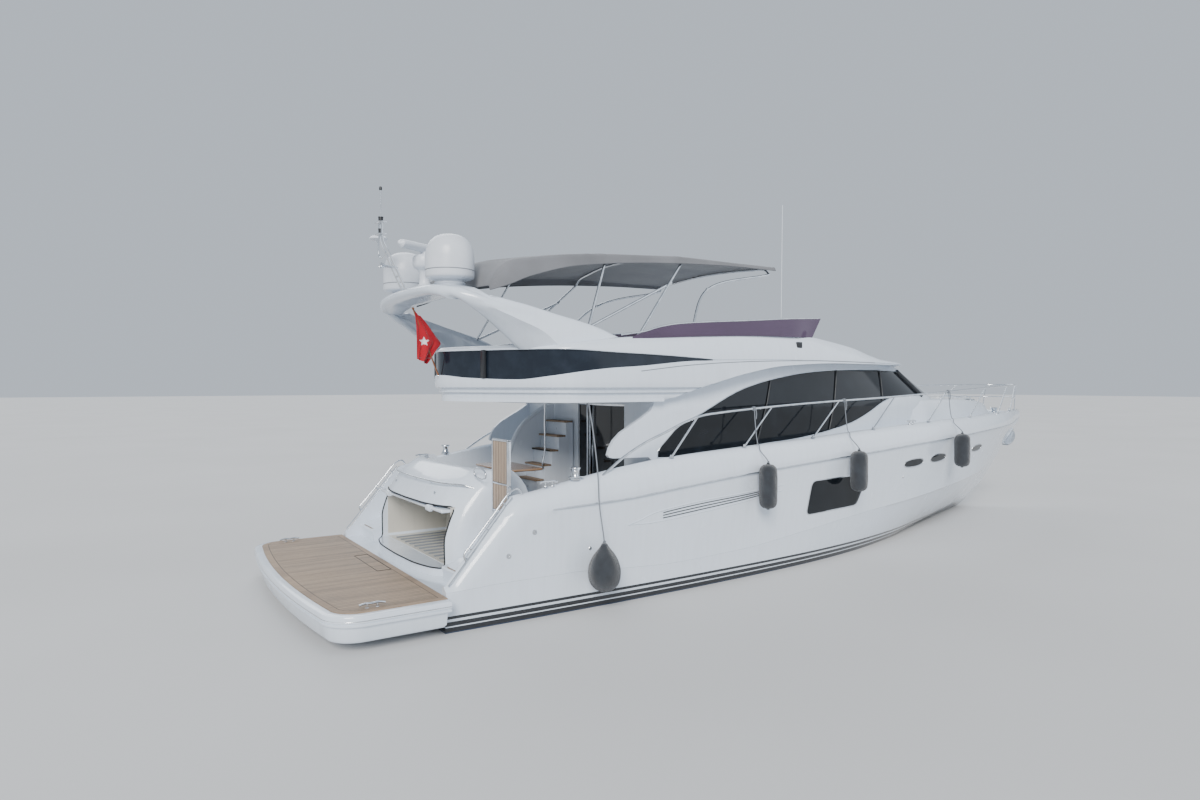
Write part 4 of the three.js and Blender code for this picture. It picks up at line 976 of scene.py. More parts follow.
def make_band_glass():
    """The dark glass let into the aft half of the flybridge's side."""
    rows = []
    for p, out in fly_loop(400):
        if p.x > -3.43:
            continue
        upper, lower = at(BAND_TOP, p.x), at(BAND_LOW, p.x)
        deep = min(0.045, max(0.0, (upper - lower) * 0.6))
        depth = max(0.002, deep - 0.012)
        rows.append((atan2(p.y, -(p.x + 3.3)), [(p.x - out.x * depth, p.y - out.y * depth,
            lower + (upper - lower) * t) for t in (-0.02, 0.2, 0.5, 0.8, 1.02)]))
    rows = [row for _, row in sorted(rows)]
    pane = laid("flybridge_band_glass", rows)
    thicken(pane, 0.008, offset=0)
    finished(pane, BAND_GLASS)
    # Swage lines: the crease along each side is white moulding; the dark grey rod laid in it is painted shade
    # in the crease.
    for side, sign in SIDES:
        line = smooth([(-4.79, 0, 3.19), (-3.89, 0, 3.285), (-2.79, 0, 3.352), (-1.17, 0, 3.395),
            (0.57, 0, 3.388)], 60)
        loop = [p for p, _ in fly_loop(600) if p.y * sign > 0]
        points = []
        for q in line:
            near = min(loop, key=lambda p: abs(p.x - q.x))
            points.append((q.x, near.y - sign * 0.001, q.z))
        finished(rod(f"swage_line_{side}", points, 0.006), GREY, slot="gelcoat")
    posts = [box("post", (-6.65, low, 3.09), (-6.6, high, 3.49), 0.008, 2)
        for low, high in ((-0.93, -0.83), (0.83, 0.93))]
    assembled("band_glass_posts", posts, BLACK)


make_flybridge()
make_band_glass()


# Deckhouse

GLASS_EDGE = [(-4.335, 1.922), (-4.335, 2.016), (-4.29, 2.07), (-4.13, 2.21), (-3.99, 2.335), (-3.76, 2.45),
    (-3.47, 2.565), (-3.09, 2.74), (-2.68, 2.9), (-2.23, 3.02), (-1.77, 3.11), (-1.22, 3.19), (-0.51, 3.245),
    (0.4, 3.27), (1.3, 3.27), (2.05, 3.25), (2.75, 2.77), (1.5, 2.755), (1.07, 2.67), (0.64, 2.5),
    (0.13, 2.33), (-0.73, 2.17), (-1.41, 2.085), (-2.09, 2.04), (-2.5, 2.01), (-3.27, 1.955), (-4.12, 1.915)]
GLASS_CORNERS = (0, 1, 15, 16)


def glass_outline():
    """The side glass in side view: rounded runs between its true corners."""
    out = []
    stops = list(GLASS_CORNERS) + [len(GLASS_EDGE)]
    for a, b in zip(stops, stops[1:]):
        run = [GLASS_EDGE[k % len(GLASS_EDGE)] for k in range(a, b + 1)]
        out += run[:1] if len(run) == 2 else smooth(run, len(run) * 4)[:-1]
    return out


def house_size(z):
    """Half breadth and front of the house at a height."""
    t = min(1, max(0, (z - 1.5) / 1.2))
    u = max(0, (z - 2.7) / 0.65)
    return 1.96 + (1.95 - 1.96) * t + (1.86 - 1.95) * u, 4.6 + (4.4 - 4.6) * t + (3.05 - 4.4) * u


def house_rows(inset, low, high, count=20, aft=-5.35):
    """The house's walls as rows of heights, each from the port quarter round the front to starboard."""
    rows = []
    for k in range(count + 1):
        z = low + (high - low) * k / count
        half, front = (size - inset for size in house_size(z))
        side = [(aft + (-1.5 - aft) * i / 44, half) for i in range(44)]
        for i in range(61):
            a = pi / 2 * (i / 60) ** 0.85
            x = -1.5 + (front + 1.5) * sin(a) ** (2 / 2.4)
            y = half * max(0.0, cos(a)) ** (2 / 2.4) if i < 60 else 0.0
            side.append((x, y))
        rows.append([(x, y, z) for x, y in side] + [(x, -y, z) for x, y in reversed(side[:-1])])
    return rows


HOUSE_SIDE = [(5.2, 1.86), (5.2, 3.44), (-4.37, 3.44), (-4.37, 2.78), (-4.39, 2.74), (-4.45, 2.62),
    (-4.62, 2.515), (-4.8, 2.42), (-4.99, 2.315), (-5.11, 2.21), (-5.18, 2.1), (-5.215, 2.0), (-5.19, 1.968),
    (-5.12, 1.955), (-4.5, 1.94), (-4.41, 1.86)]
WINDSCREEN = [(2.16, 3.24), (2.85, 2.79), (5.0, 2.79), (5.0, 3.24)]


def make_deckhouse():
    walls = laid("deckhouse_moulding", house_rows(0, 1.8, 3.46))
    same_way(walls)
    thicken(walls, 0.06)
    trim(walls, prism("side", HOUSE_SIDE, "y", -2.4, 2.4), "INTERSECT")
    edge = glass_outline()
    for low, high in ((-2.4, -0.5), (0.5, 2.4)):
        trim(walls, prism("glass", edge, "y", low, high))
    trim(walls, prism("screen", WINDSCREEN, "y", -2.4, 2.4))
    trim(walls, box("coachroof_space", (2.4, -1.5, 1.7), (5.0, 1.5, 2.6)))
    frame_aft = box("aft_frame", (-4.4, -1.93, 1.07), (-4.34, 1.93, 2.8), 0.006, 2)
    trim(frame_aft, box("doorway", (-4.5, -1.2, 0.9), (-4.3, 0.15, 2.69)))
    piece = joined("deckhouse_moulding", [walls, frame_aft])
    finished(piece, GELCOAT, replaces="deckhouse", angle=32)

    pane = laid("side_glazing", house_rows(0.01, 1.86, 3.34, 26, aft=-4.5))
    same_way(pane)
    thicken(pane, 0.012)
    names = ("side_glass_starboard", "side_glass_port", "windscreen")
    for name, outline, low, high in zip(names, (edge, edge, WINDSCREEN), (-2.4, 0.5, -2.4), (-0.5, 2.4, 2.4)):
        pick(pane)
        bpy.ops.object.duplicate()
        glass = bpy.context.object
        glass.name = name + "_pane"
        trim(glass, prism("span", outline, "y", low, high), "INTERSECT")
        finished(glass, GLASS, replaces=name, angle=30)
    discard(pane)

    trims = []
    for sign in (-1, 1):
        points = [house_spot(x, z, sign, -0.001) for x, z in edge]
        trims.append(rod("trim", points + [points[0]], 0.008))
    assembled("side_glass_trim", trims, STEEL)
    bars = []
    for sign in (-1, 1):
        for (xa, za), (xb, zb) in (((-2.32, 2.03), (-1.95, 3.06)), ((-0.55, 2.22), (-0.25, 3.25)),
                ((1.06, 2.7), (1.2, 3.26))):
            line = [house_spot(xa + (xb - xa) * t / 6, za + (zb - za) * t / 6, sign, 0.006) for t in range(7)]
            bars.append(rod("bar", line, 0.011))
        line = [house_spot(2.08 + 0.74 * t / 8, 3.25 - 0.48 * t / 8, sign, 0.004) for t in range(9)]
        bars.append(rod("pillar", line, 0.05))
    assembled("glazing_bars", bars, BLACK)


def house_spot(x, z, sign, proud=0.0):
    """A point on the house's outer wall, from its place in side view."""
    half, front = house_size(z)
    if x <= -1.5:
        return (x, sign * (half + proud), z)
    s = min(1.0, (x + 1.5) / (front + 1.5))
    cos_part = max(0.0, 1 - s ** 2.4) ** (1 / 2.4)
    return (x, sign * (half * cos_part + proud), z)


make_deckhouse()


# Foredeck coachroof

COACHROOF = [(1.9, 1.69, 1.57, 2.69), (2.6, 1.66, 1.53, 2.692), (3.0, 1.62, 1.48, 2.69),
    (4.0, 1.48, 1.33, 2.685), (5.0, 1.26, 1.09, 2.66), (6.0, 0.96, 0.78, 2.61), (6.8, 0.64, 0.47, 2.54),
    (7.2, 0.42, 0.28, 2.46), (7.35, 0.3, 0.14, 2.38)]


def make_coachroof():
    rings = []
    marks = [1.9 + 0.1 * i for i in range(50)] + [6.9, 7.0, 7.1, 7.18, 7.25, 7.3, 7.34]
    for x in marks:
        foot, top, z = (at(COACHROOF, x, k) for k in (1, 2, 3))
        low = hull(x, GUNWALE_Z) - 0.22
        if x > 6.9:
            z -= 0.1 * ((x - 6.9) / 0.45) ** 2
        half = [(foot + 0.03, low), (foot + 0.012, low + 0.1), (foot - (foot - top) * 0.25, z - 0.2)]
        for i in range(6):
            a = pi / 2 * i / 5
            half.append((top - 0.09 + (foot - top) * 0.25 + 0.09 * cos(a), z - 0.085 + 0.085 * sin(a)))
        for t in (0.7, 0.4, 0.15):
            half.append(((top - 0.09) * t, z + 0.02 * (1 - t * t)))
        rings.append([(x, y, h) for y, h in half] + [(x, -y, h) for y, h in reversed(half)])
    piece = ringed("coachroof_moulding", rings)
    finished(piece, GELCOAT, replaces="coachroof", angle=32)
    rails = []
    for sign in (-1, 1):
        rails.append(tube("rail", [(4.5, sign * 0.86, 2.67), (4.56, sign * 0.85, 2.735),
            (5.2, sign * 0.78, 2.725), (5.93, sign * 0.64, 2.69), (6.0, sign * 0.62, 2.62)], 0.011))
        rails.append(rod("post", [(5.2, sign * 0.78, 2.64), (5.2, sign * 0.78, 2.725)], 0.009))
    assembled("coachroof_handrails", rails, STEEL)
    hatch = box("foredeck_hatch", (6.32, -0.26, 2.575), (6.8, 0.26, 2.635), 0.02)
    finished(hatch, GLASS)


make_coachroof()


# Radar arch

ARCH = [
    # aft x, y, z, middle x, y, z, fore x, y, z
    (-6.38, 1.445, 3.50, -5.95, 1.88, 3.52, -4.93, 1.96, 3.60),
    (-6.67, 1.47, 3.74, -6.20, 1.83, 3.74, -5.32, 1.93, 3.78),
    (-6.95, 1.47, 3.95, -6.60, 1.74, 3.93, -5.96, 1.87, 3.93),
    (-7.20, 1.44, 4.11, -6.95, 1.62, 4.08, -6.54, 1.78, 4.07),
    (-7.38, 1.33, 4.20, -7.20, 1.44, 4.195, -6.92, 1.56, 4.19),
    (-7.48, 1.05, 4.27, -7.21, 1.075, 4.28, -6.93, 1.10, 4.285),
    (-7.52, 0.50, 4.305, -7.21, 0.50, 4.31, -6.90, 0.50, 4.31),
]


def make_arch():
    corners = []
    for k in (0, 3, 6):
        port = [Vector(row[k:k + 3]) for row in ARCH]
        if k == 6:
            port[0] = Vector((-4.8, 1.975, 3.56))
        path = [Vector((p.x, -p.y, p.z)) for p in port] + port[::-1]
        corners.append(smooth(path, 90))
    rings = []
    for i in range(90):
        a, m, f = (corners[k][i] for k in range(3))
        before = [corners[k][max(0, i - 1)] for k in range(3)]
        after = [corners[k][min(89, i + 1)] for k in range(3)]
        outs = []
        for k in range(3):
            chord = (f - a).normalized() if k != 1 else ((m - a).normalized()
                + (f - m).normalized()).normalized()
            outs.append((after[k] - before[k]).cross(chord).normalized())
        thick = 0.065
        spread = (0.0, 0.015, 0.05, 0.12, 0.3, 0.5, 0.7, 0.88, 0.95, 0.985, 1.0)

        def spot(t, side):
            if t < 0.5:
                p, out = a.lerp(m, t * 2), outs[0].lerp(outs[1], t * 2)
            else:
                p, out = m.lerp(f, t * 2 - 1), outs[1].lerp(outs[2], t * 2 - 1)
            full = (t / 0.1) ** 0.5 if t < 0.1 else ((1 - t) / 0.12) ** 0.5 if t > 0.88 else 1.0
            bulge = 4 * t * (1 - t) * 0.012
            return p + out.normalized() * (side * thick * min(1.0, full) + bulge * side)
        rings.append([spot(t, 1) for t in spread] + [spot(t, -1) for t in spread[-2:0:-1]])
    piece = ringed("radar_arch_moulding", rings)
    finished(piece, GELCOAT, replaces="radar_arch", angle=50)


make_arch()


# Domes, radar and masts on the arch

def make_domes():
    for side, sign in SIDES:
        foot = (-7.13, sign * 0.9, 4.38)
        shell = turned("dome", [(0.3, 0.07), (0.322, 0.08), (0.332, 0.095), (0.335, 0.12), (0.335, 0.175),
            (0.331, 0.18), (0.331, 0.186), (0.335, 0.19), (0.335, 0.36), (0.33, 0.42), (0.317, 0.48),
            (0.293, 0.54), (0.256, 0.594), (0.205, 0.638), (0.14, 0.667), (0.07, 0.682), (0.0, 0.686)], foot,
            steps=72)
        base = turned("base", [(0, 0.0), (0.205, 0.0), (0.212, 0.006), (0.212, 0.018), (0.196, 0.026),
            (0.19, 0.05), (0.235, 0.06), (0.3, 0.07), (0, 0.072)], foot, steps=72)
        foot_pad = turned("pad", [(0, -0.085), (0.17, -0.085), (0.185, -0.02), (0.205, 0.001), (0, 0.001)],
            foot)
        piece = joined(f"satellite_dome_{side}_shell", [shell, base, foot_pad])
        finished(piece, RADOME, replaces=f"satellite_dome_{side}")
        ring = turned(f"dome_seam_{side}", [(0.331, 0.176), (0.3365, 0.178), (0.3365, 0.188), (0.331, 0.19),
            (0.331, 0.176)], foot, steps=72)
        finished(ring, GREY)


def make_radar():
    centre = (-7.15, 0, 4.34)
    drum = turned("radar_pedestal", [(0, -0.06), (0.16, -0.06), (0.155, 0.02), (0.13, 0.08), (0.085, 0.13),
        (0.075, 0.2), (0.078, 0.3), (0.11, 0.345), (0.15, 0.365), (0.172, 0.4), (0.175, 0.44), (0.175, 0.5),
        (0.165, 0.535), (0.14, 0.556), (0, 0.558)], centre, steps=56)
    finished(drum, RADOME, replaces="radar_drum")
    rows = []
    for i in range(21):
        s = -0.54 + 1.08 * i / 20
        tip = min(1.0, ((0.54 - abs(s)) / 0.06) ** 0.5 if abs(s) > 0.48 else 1.0)
        tip = max(tip, 0.15)
        rows.append([(s, 0.073 * tip * cos(a) * (1.0 + 0.12 * sin(a)), 0.098 + 0.063 * tip * sin(a))
            for a in around(24)])
    bar = ringed("bar", rows)
    hub = turned("hub", [(0, 0.001), (0.07, 0.001), (0.072, 0.012), (0.062, 0.05), (0, 0.052)], steps=32)
    scanner = joined("radar_scanner_bar", [bar, hub])
    scanner.data.transform(Matrix.Translation((-7.15, 0, 4.9)) @ Matrix.Rotation(0.48, 4, "Z"))
    finished(scanner, RADOME, body="radar_scanner", replaces="radar_scanner")


def make_mast():
    tubes = []
    for y in (-0.075, 0.075):
        tubes.append(tube("leg", [(-7.44, y, 4.32), (-7.52, y, 4.48), (-7.7, y * 0.95, 4.86),
            (-7.79, y * 0.8, 5.05), (-7.8, y * 0.8, 5.32)], 0.017))
    for z, x in ((4.56, -7.56), (4.72, -7.635), (4.88, -7.71)):
        tubes.append(rod("rung", [(x, -0.078, z), (x, 0.078, z)], 0.011))
    for z in (5.13, 5.3):
        tubes.append(box("plate", (-7.86, -0.095, z), (-7.74, 0.095, z + 0.012), 0.004, 2))
    tubes.append(rod("staff", [(-7.8, 0, 5.31), (-7.8, 0, 5.79)], 0.009))
    tubes.append(tube("arm", [(-7.7, 0.07, 4.86), (-7.7, 0.3, 4.85), (-7.7, 0.41, 4.9), (-7.7, 0.43, 5.11)],
        0.013))
    for sign in (-1, 1):
        tubes.append(turned("shoe", [(0, 0), (0.04, 0), (0.04, 0.006), (0.022, 0.014), (0, 0.016)],
            (-7.44, sign * 0.075, 4.365), steps=20))
    assembled("light_mast_tubes", tubes, STEEL, replaces="light_mast")
    antenna = turned("mushroom_antenna", [(0, 0), (0.024, 0), (0.03, 0.02), (0.11, 0.03), (0.13, 0.045),
        (0.13, 0.06), (0.105, 0.085), (0.05, 0.098), (0, 0.1)], (-7.7, 0.43, 5.1), steps=40)
    finished(antenna, RADOME)
    lamps = [turned("lamp", [(0, 0), (0.036, 0), (0.038, 0.008), (0.034, 0.012), (0.034, 0.06),
        (0.038, 0.064), (0.036, 0.075), (0, 0.08)], (-7.8, 0, z), steps=28) for z in (5.142, 5.312)]
    lamps.append(turned("lamp", [(0, 0), (0.02, 0), (0.022, 0.03), (0.015, 0.05), (0, 0.052)],
        (-7.8, 0, 5.765), steps=20))
    assembled("mast_lamps", lamps, BLACK)
    horn = [turned("horn", [(0, 0), (0.012, 0), (0.014, 0.16), (0.03, 0.22), (0.042, 0.24), (0.036, 0.24),
        (0, 0.18)], (-7.62, y, 4.66), heading=(-1, 0, 0.05), steps=24) for y in (-0.13, -0.19)]
    assembled("horns", horn, STEEL)
    whip = rod("whip_antenna", [(-1.85, -2.03, 3.79), (-1.845, -2.035, 4.9), (-1.84, -2.04, 5.92)], 0.006)
    base = turned("whip_base", [(0, 0), (0.03, 0), (0.03, 0.01), (0.014, 0.03), (0.013, 0.16), (0, 0.162)],
        (-1.85, -2.03, 3.79), steps=20)
    assembled("whip_antenna", [whip, base], RADOME)
    for side, y in (("starboard", -2.125), ("port", 2.085)):
        finished(box(f"side_light_{side}", (-1.56, y, 3.6), (-1.44, y + 0.04, 3.7), 0.012), BLACK)


make_domes()
make_radar()
make_mast()


# Transom block and its garage

BLOCK_PROFILE = [(0.4503, -7.62), (0.9, -7.63), (1.12, -7.575), (1.34, -7.48), (1.5, -7.37), (1.64, -7.25),
    (1.76, -7.1), (1.83, -6.99)]
BLOCK_SHIFT = [(0.0, 0.0), (0.6, 0.02), (1.05, 0.1), (1.33, 0.26), (1.44, 0.38), (1.48, 0.51)]
GARAGE_HALF, GARAGE_LOW, GARAGE_HIGH, GARAGE_FORE = 1.3, 0.56, 1.36, -6.3
BACK_REST = 0.11


def block_face(y, z):
    return at(BLOCK_PROFILE, z) + at(BLOCK_SHIFT, abs(y))


def seat_back(y):
    """Fore face of the back rest, at its foot."""
    return block_face(y, 1.83) + BACK_REST + 0.07


def rounded_rectangle(half, low, high, radius, corner=6):
    out = []
    for cy, cz, start in ((half - radius, low + radius, -90), (half - radius, high - radius, 0),
            (-half + radius, high - radius, 90), (-half + radius, low + radius, 180)):
        for k in range(corner + 1):
            a = radians(start + 90 * k / corner)
            out.append((cy + radius * cos(a), cz + radius * sin(a)))
    return out


def make_transom():
    levels = [(0.4503 + 0.085 * i, 0.0) for i in range(16)]
    levels += [(1.79, 0.004), (1.808, 0.012), (1.82, 0.026), (1.828, 0.048), (1.83, 0.075)]
    rings = []
    for z, d in levels:
        plan = [(-6.2, -1.48)]
        for k in range(75):
            y = -1.48 + 0.04 * k
            plan.append((block_face(y, z), y))
        plan.append((-6.2, 1.48))
        rings.append([(x, y, z) for x, y in drawn_in(plan, d)] if d else [(x, y, z) for x, y in plan])
    block = ringed("transom_moulding", rings)
    seat = []
    for z, lean in ((1.44, 0.035), (1.448, 0.012), (1.47, 0.0), (1.9, -0.095)):
        fore_face = [(seat_back(-1.38 + 0.06 * k) + lean, -1.38 + 0.06 * k, z) for k in range(47)]
        seat.append([(-6.1, -1.38, z)] + fore_face + [(-6.1, 1.38, z)])
    trim(block, ringed("seat", seat))
    trim(block, prism("arm", [(-6.5, 1.9), (-6.47, 1.82), (-6.42, 1.78), (-6.34, 1.7), (-6.27, 1.6),
        (-6.215, 1.46), (-6.205, 1.44), (-6.1, 1.44), (-6.1, 1.9)], "y", -1.6, 1.6))
    opening = rounded_rectangle(GARAGE_HALF, GARAGE_LOW, GARAGE_HIGH, 0.07)
    trim(block, prism("garage", opening, "x", -8.0, GARAGE_FORE))
    finished(block, GELCOAT, replaces="transom_block")
    seal = [(block_face(y, z) - 0.002, y, z) for y, z in rounded_rectangle(GARAGE_HALF + 0.004,
        GARAGE_LOW - 0.004, GARAGE_HIGH + 0.004, 0.074, 12)]
    dense = []
    for a, b in zip(seal, seal[1:] + seal[:1]):
        steps = max(1, int((Vector(b) - Vector(a)).length / 0.05))
        for k in range(steps):
            p = Vector(a).lerp(Vector(b), k / steps)
            dense.append((block_face(p.y, p.z) - 0.002, p.y, p.z))
    finished(rod("garage_seal", dense, 0.01, closed=True), RUBBER)
    lining = box("garage_lining", (-7.3, -1.299, 0.561), (-6.302, 1.299, 1.3595))
    trim(lining, box("space", (-7.4, -1.293, 0.567), (-6.308, 1.293, 1.3545)))
    finished(lining, CREAM, angle=None)
    slats = [box("slat", (-7.25, y, 0.5675), (-6.35, y + 0.05, 0.582), 0.004, 2)
        for y in [-1.2 + 0.2 * i for i in range(12)]]
    assembled("garage_chocks", slats, GREY)
    rail = [(-7.13, 1.22, 1.6), (-7.26, 0.95, 1.645), (-7.33, 0.5, 1.655), (-7.345, 0, 1.655),
        (-7.33, -0.5, 1.655), (-7.26, -0.95, 1.65), (-7.1, -1.27, 1.64), (-6.98, -1.36, 1.6)]
    bars = [tube("rail", rail, 0.0125, sides=8)]
    for y in (-1.05, -0.55, 0.0, 0.55, 1.05):
        near = min(smooth(rail, 80), key=lambda p: abs(p.y - y))
        foot = Vector((near.x + 0.075, near.y, near.z - 0.055))
        bars.append(rod("post", [near, foot], 0.009))
        bars.append(turned("flange", [(0, -0.004), (0.022, -0.004), (0.022, 0.003), (0.014, 0.008),
            (0, 0.009)], foot, heading=(-0.7, 0, 0.7), steps=20))
    bars.append(tube("gate", [(-6.95, -1.3, 1.86), (-6.93, -1.58, 1.84), (-6.93, -1.6, 1.76),
        (-6.95, -1.3, 1.77)], 0.011, closed=True, sides=8))
    assembled("transom_handrails", bars, STEEL)
    marks = [turned("light", [(0, 0), (0.028, 0), (0.028, 0.004), (0.02, 0.007), (0, 0.007)],
        (block_face(y, z) - 0.001, y, z), heading=(-1, 0, 0.2), steps=24)
        for y, z in ((-0.8, 1.5), (0.8, 1.5))]
    assembled("courtesy_lights", marks, STEEL)


def make_garage_door():
    free_end = smooth([(-6.79, -1.284), (-6.715, -1.251), (-6.682, -1.176)], 8)
    plan = [(-7.42, -1.284)] + free_end + [(x, -y) for x, y in reversed(free_end)] + [(-7.42, 1.284)]
    leaf = prism("leaf", plan, "z", 1.291, 1.329)
    soften(leaf, 0.012, 3, 50)
    parts = [leaf]
    for y in (-0.85, 0.85):
        parts.append(turned("knuckle", [(0, -0.054), (0.04, -0.054), (0.046, -0.048), (0.046, 0.048),
            (0.04, 0.054), (0, 0.054)], (-7.42, y, 1.31), heading=(0, 1, 0), steps=32))
    door = joined("garage_door_leaf", parts)
    finished(door, GELCOAT, body="garage_door", replaces="garage_door")
    handle = tube("garage_door_handle", [(-6.75, -0.1, 1.292), (-6.75, -0.09, 1.275), (-6.75, 0.09, 1.275),
        (-6.75, 0.1, 1.292)], 0.006, sides=8)
    finished(handle, STEEL, body="garage_door")


def make_stern_steps():
    treads = [(-7.5, 0.64, -7.18), (-7.18, 0.83, -6.86), (-6.86, 1.0, -6.2003)]
    for side, sign in (("port", 1), ("starboard", -1)):
        outline = [(-6.2003, 0.4503), (-7.47, 0.4503)]
        for x, z, _ in treads:
            outline += [(x + 0.02, z - 0.09), (x + 0.005, z - 0.04)]
            for k in range(5):
                a = pi - pi / 2 * k / 4
                outline.append((x + 0.018 + 0.018 * cos(a), z - 0.018 + 0.018 * sin(a)))
        outline.append((-6.2003, 1.0))
        step = prism("steps", outline, "y", min(sign * 1.4803, sign * 2.1197),
            max(sign * 1.4803, sign * 2.1197))
        finished(step, GELCOAT, replaces=f"stern_steps_{side}", angle=30)
        pads = []
        for x, z, end in treads:
            low, high = sorted((sign * 1.53, sign * 2.07))
            tread_pad = prism("pad", smooth([(x + 0.035, low + 0.05), (x + 0.03, (low + high) / 2),
                (x + 0.035, high - 0.05), (x + 0.08, high), (end - 0.07, high), (end - 0.03, high - 0.05),
                (end - 0.03, low + 0.05), (end - 0.07, low), (x + 0.08, low)], 60, closed=True), "z",
                z - 0.003, z + 0.009)
            pads.append(tread_pad)
        assembled(f"step_pads_{side}", pads, DECK_TEAK)
        edge = sign * 2.215
        (x0, z0), (x1, z1) = DIAGONAL
        strip = rod("strip", [(x0 - 0.001, edge, z0 + 0.01),
            (x0 * 0.5 + x1 * 0.5 - 0.004, edge, (z0 + z1) / 2 + 0.004),
            (x1 - 0.002, edge * 0.996, z1)], 0.008)
        bars = [strip, tube("rail", [(-7.47, edge * 0.99, 0.84), (-7.495, edge * 0.99, 0.92),
            (-7.42, edge * 0.99, 1.01), (-7.1, edge * 0.99, 1.375), (-6.86, edge * 0.99, 1.645),
            (-6.76, edge * 0.99, 1.675), (-6.69, edge * 0.99, 1.6)], 0.0125, sides=8)]
        for t in (0.3, 0.62, 0.9):
            x, z = x0 + (x1 - x0) * t, z0 + (z1 - z0) * t
            bars.append(rod("post", [(x, edge * 0.99, z), (x - 0.045, edge * 0.99, z + 0.045)], 0.008))
        assembled(f"quarter_rail_{side}", bars, STEEL)


STAIR_TREADS = [(-5.27 + 0.14 * i, 1.0 + 0.24 * (i + 0.75)) for i in range(6)]
STAIR_FOOT, STAIR_END = 1.0005, -4.422
STAIR_WALL = [(-5.34, STAIR_FOOT), (-5.345, 1.5), (-5.29, 1.86), (-5.2, 2.1), (-5.03, 2.33), (-4.76, 2.53),
    (-4.52, 2.66), (STAIR_END, 2.7)]


def make_stairs():
    """A closed stepped moulding with wooden treads beside a side wall with a rounded rim."""
    steps = [(STAIR_END, STAIR_FOOT), (-5.262, STAIR_FOOT)]
    for x, z in STAIR_TREADS:
        steps += [(x + 0.008, z - 0.034), (x + 0.008, z - 0.03), (min(x + 0.148, STAIR_END), z - 0.03)]
    block = prism("steps", steps, "y", 0.2803, 0.93)
    soften(block, 0.006, 2, 50)
    rim = smooth(STAIR_WALL, 60)
    wall = prism("wall", [(STAIR_END, STAIR_FOOT)] + rim, "y", 0.92, 0.9797)
    soften(wall, 0.018, 4, 50)
    line = [(p.x + 0.012, 0.95, p.y - 0.012) for p in rim][1:-1]
    roll = rod("rim", line, 0.04, sides=10)
    assembled("flybridge_stair_moulding", [block, wall, roll], GELCOAT, replaces="flybridge_stairs")
    treads = []
    for x, z in STAIR_TREADS:
        treads.append(box("tread", (x - 0.025, 0.285, z - 0.029), (min(x + 0.145, -4.424), 0.918, z), 0.008))
    assembled("flybridge_stair_treads", treads, TREAD_TEAK)
    lamps = []
    for x, z in STAIR_TREADS[1:]:
        lamps.append(turned("lamp", [(0, -0.002), (0.016, -0.002), (0.016, 0.003), (0.01, 0.006),
            (0, 0.006)], (x + 0.006, 0.6, z - 0.14), heading=(-1, 0, 0), steps=20))
    assembled("stair_lamps", lamps, STEEL)
    grab = tube("stair_handrail", [(-5.02, 0.262, 1.62), (-5.03, 0.256, 1.68), (-4.99, 0.255, 1.85),
        (-4.99, 0.255, 2.35), (-4.985, 0.256, 2.6), (-4.98, 0.258, 2.744)], 0.013, sides=8)
    foot = turned("foot", [(0, -0.004), (0.024, -0.004), (0.024, 0.004), (0.015, 0.009), (0, 0.01)],
        (-5.02, 0.279, 1.61), heading=(0, -1, 0), steps=20)
    assembled("stair_handrail", [grab, foot], STEEL)


make_transom()
make_garage_door()
make_stern_steps()
make_stairs()


# Cockpit

def make_cockpit():
    half = [(-6.02, -0.62), (-5.56, -0.62), (-5.5, -0.59), (-5.48, -0.52)]
    plan = half + [(x, -y) for x, y in reversed(half)] + [(-6.08, 0.59), (-6.1, 0.52), (-6.1, -0.52),
        (-6.08, -0.59)]
    table = stacked("table_top", plan, [(0.05, 1.682), (0.012, 1.684), (0.0, 1.694), (0.0, 1.706),
        (0.006, 1.716), (0.016, 1.7199), (0.05, 1.72)])
    leg = turned("leg", [(0, 1.0125), (0.19, 1.0125), (0.19, 1.02), (0.17, 1.03), (0.06, 1.042),
        (0.048, 1.08), (0.048, 1.64), (0.07, 1.672), (0.16, 1.683), (0, 1.683)], (-5.79, 0, 0))
    finished(table, TABLE_WOOD)
    finished(leg, STEEL, replaces="cockpit_table")
    finished(box("winch_base", (-6.05, -2.33, 1.775), (-5.85, -2.25, 1.79), 0.006, 2), STEEL)
    for side, sign in SIDES:
        cleat(f"quarter_cleat_{side}", (-6.35, sign * 2.27, 1.687), 0.26)
        drum = turned(f"warping_drum_{side}", [(0, 0), (0.075, 0), (0.078, 0.02), (0.055, 0.05),
            (0.045, 0.09), (0.052, 0.13), (0.075, 0.155), (0.072, 0.17), (0, 0.175)],
            (-5.93, sign * 2.24, 1.735), steps=40)
        finished(drum, STEEL)


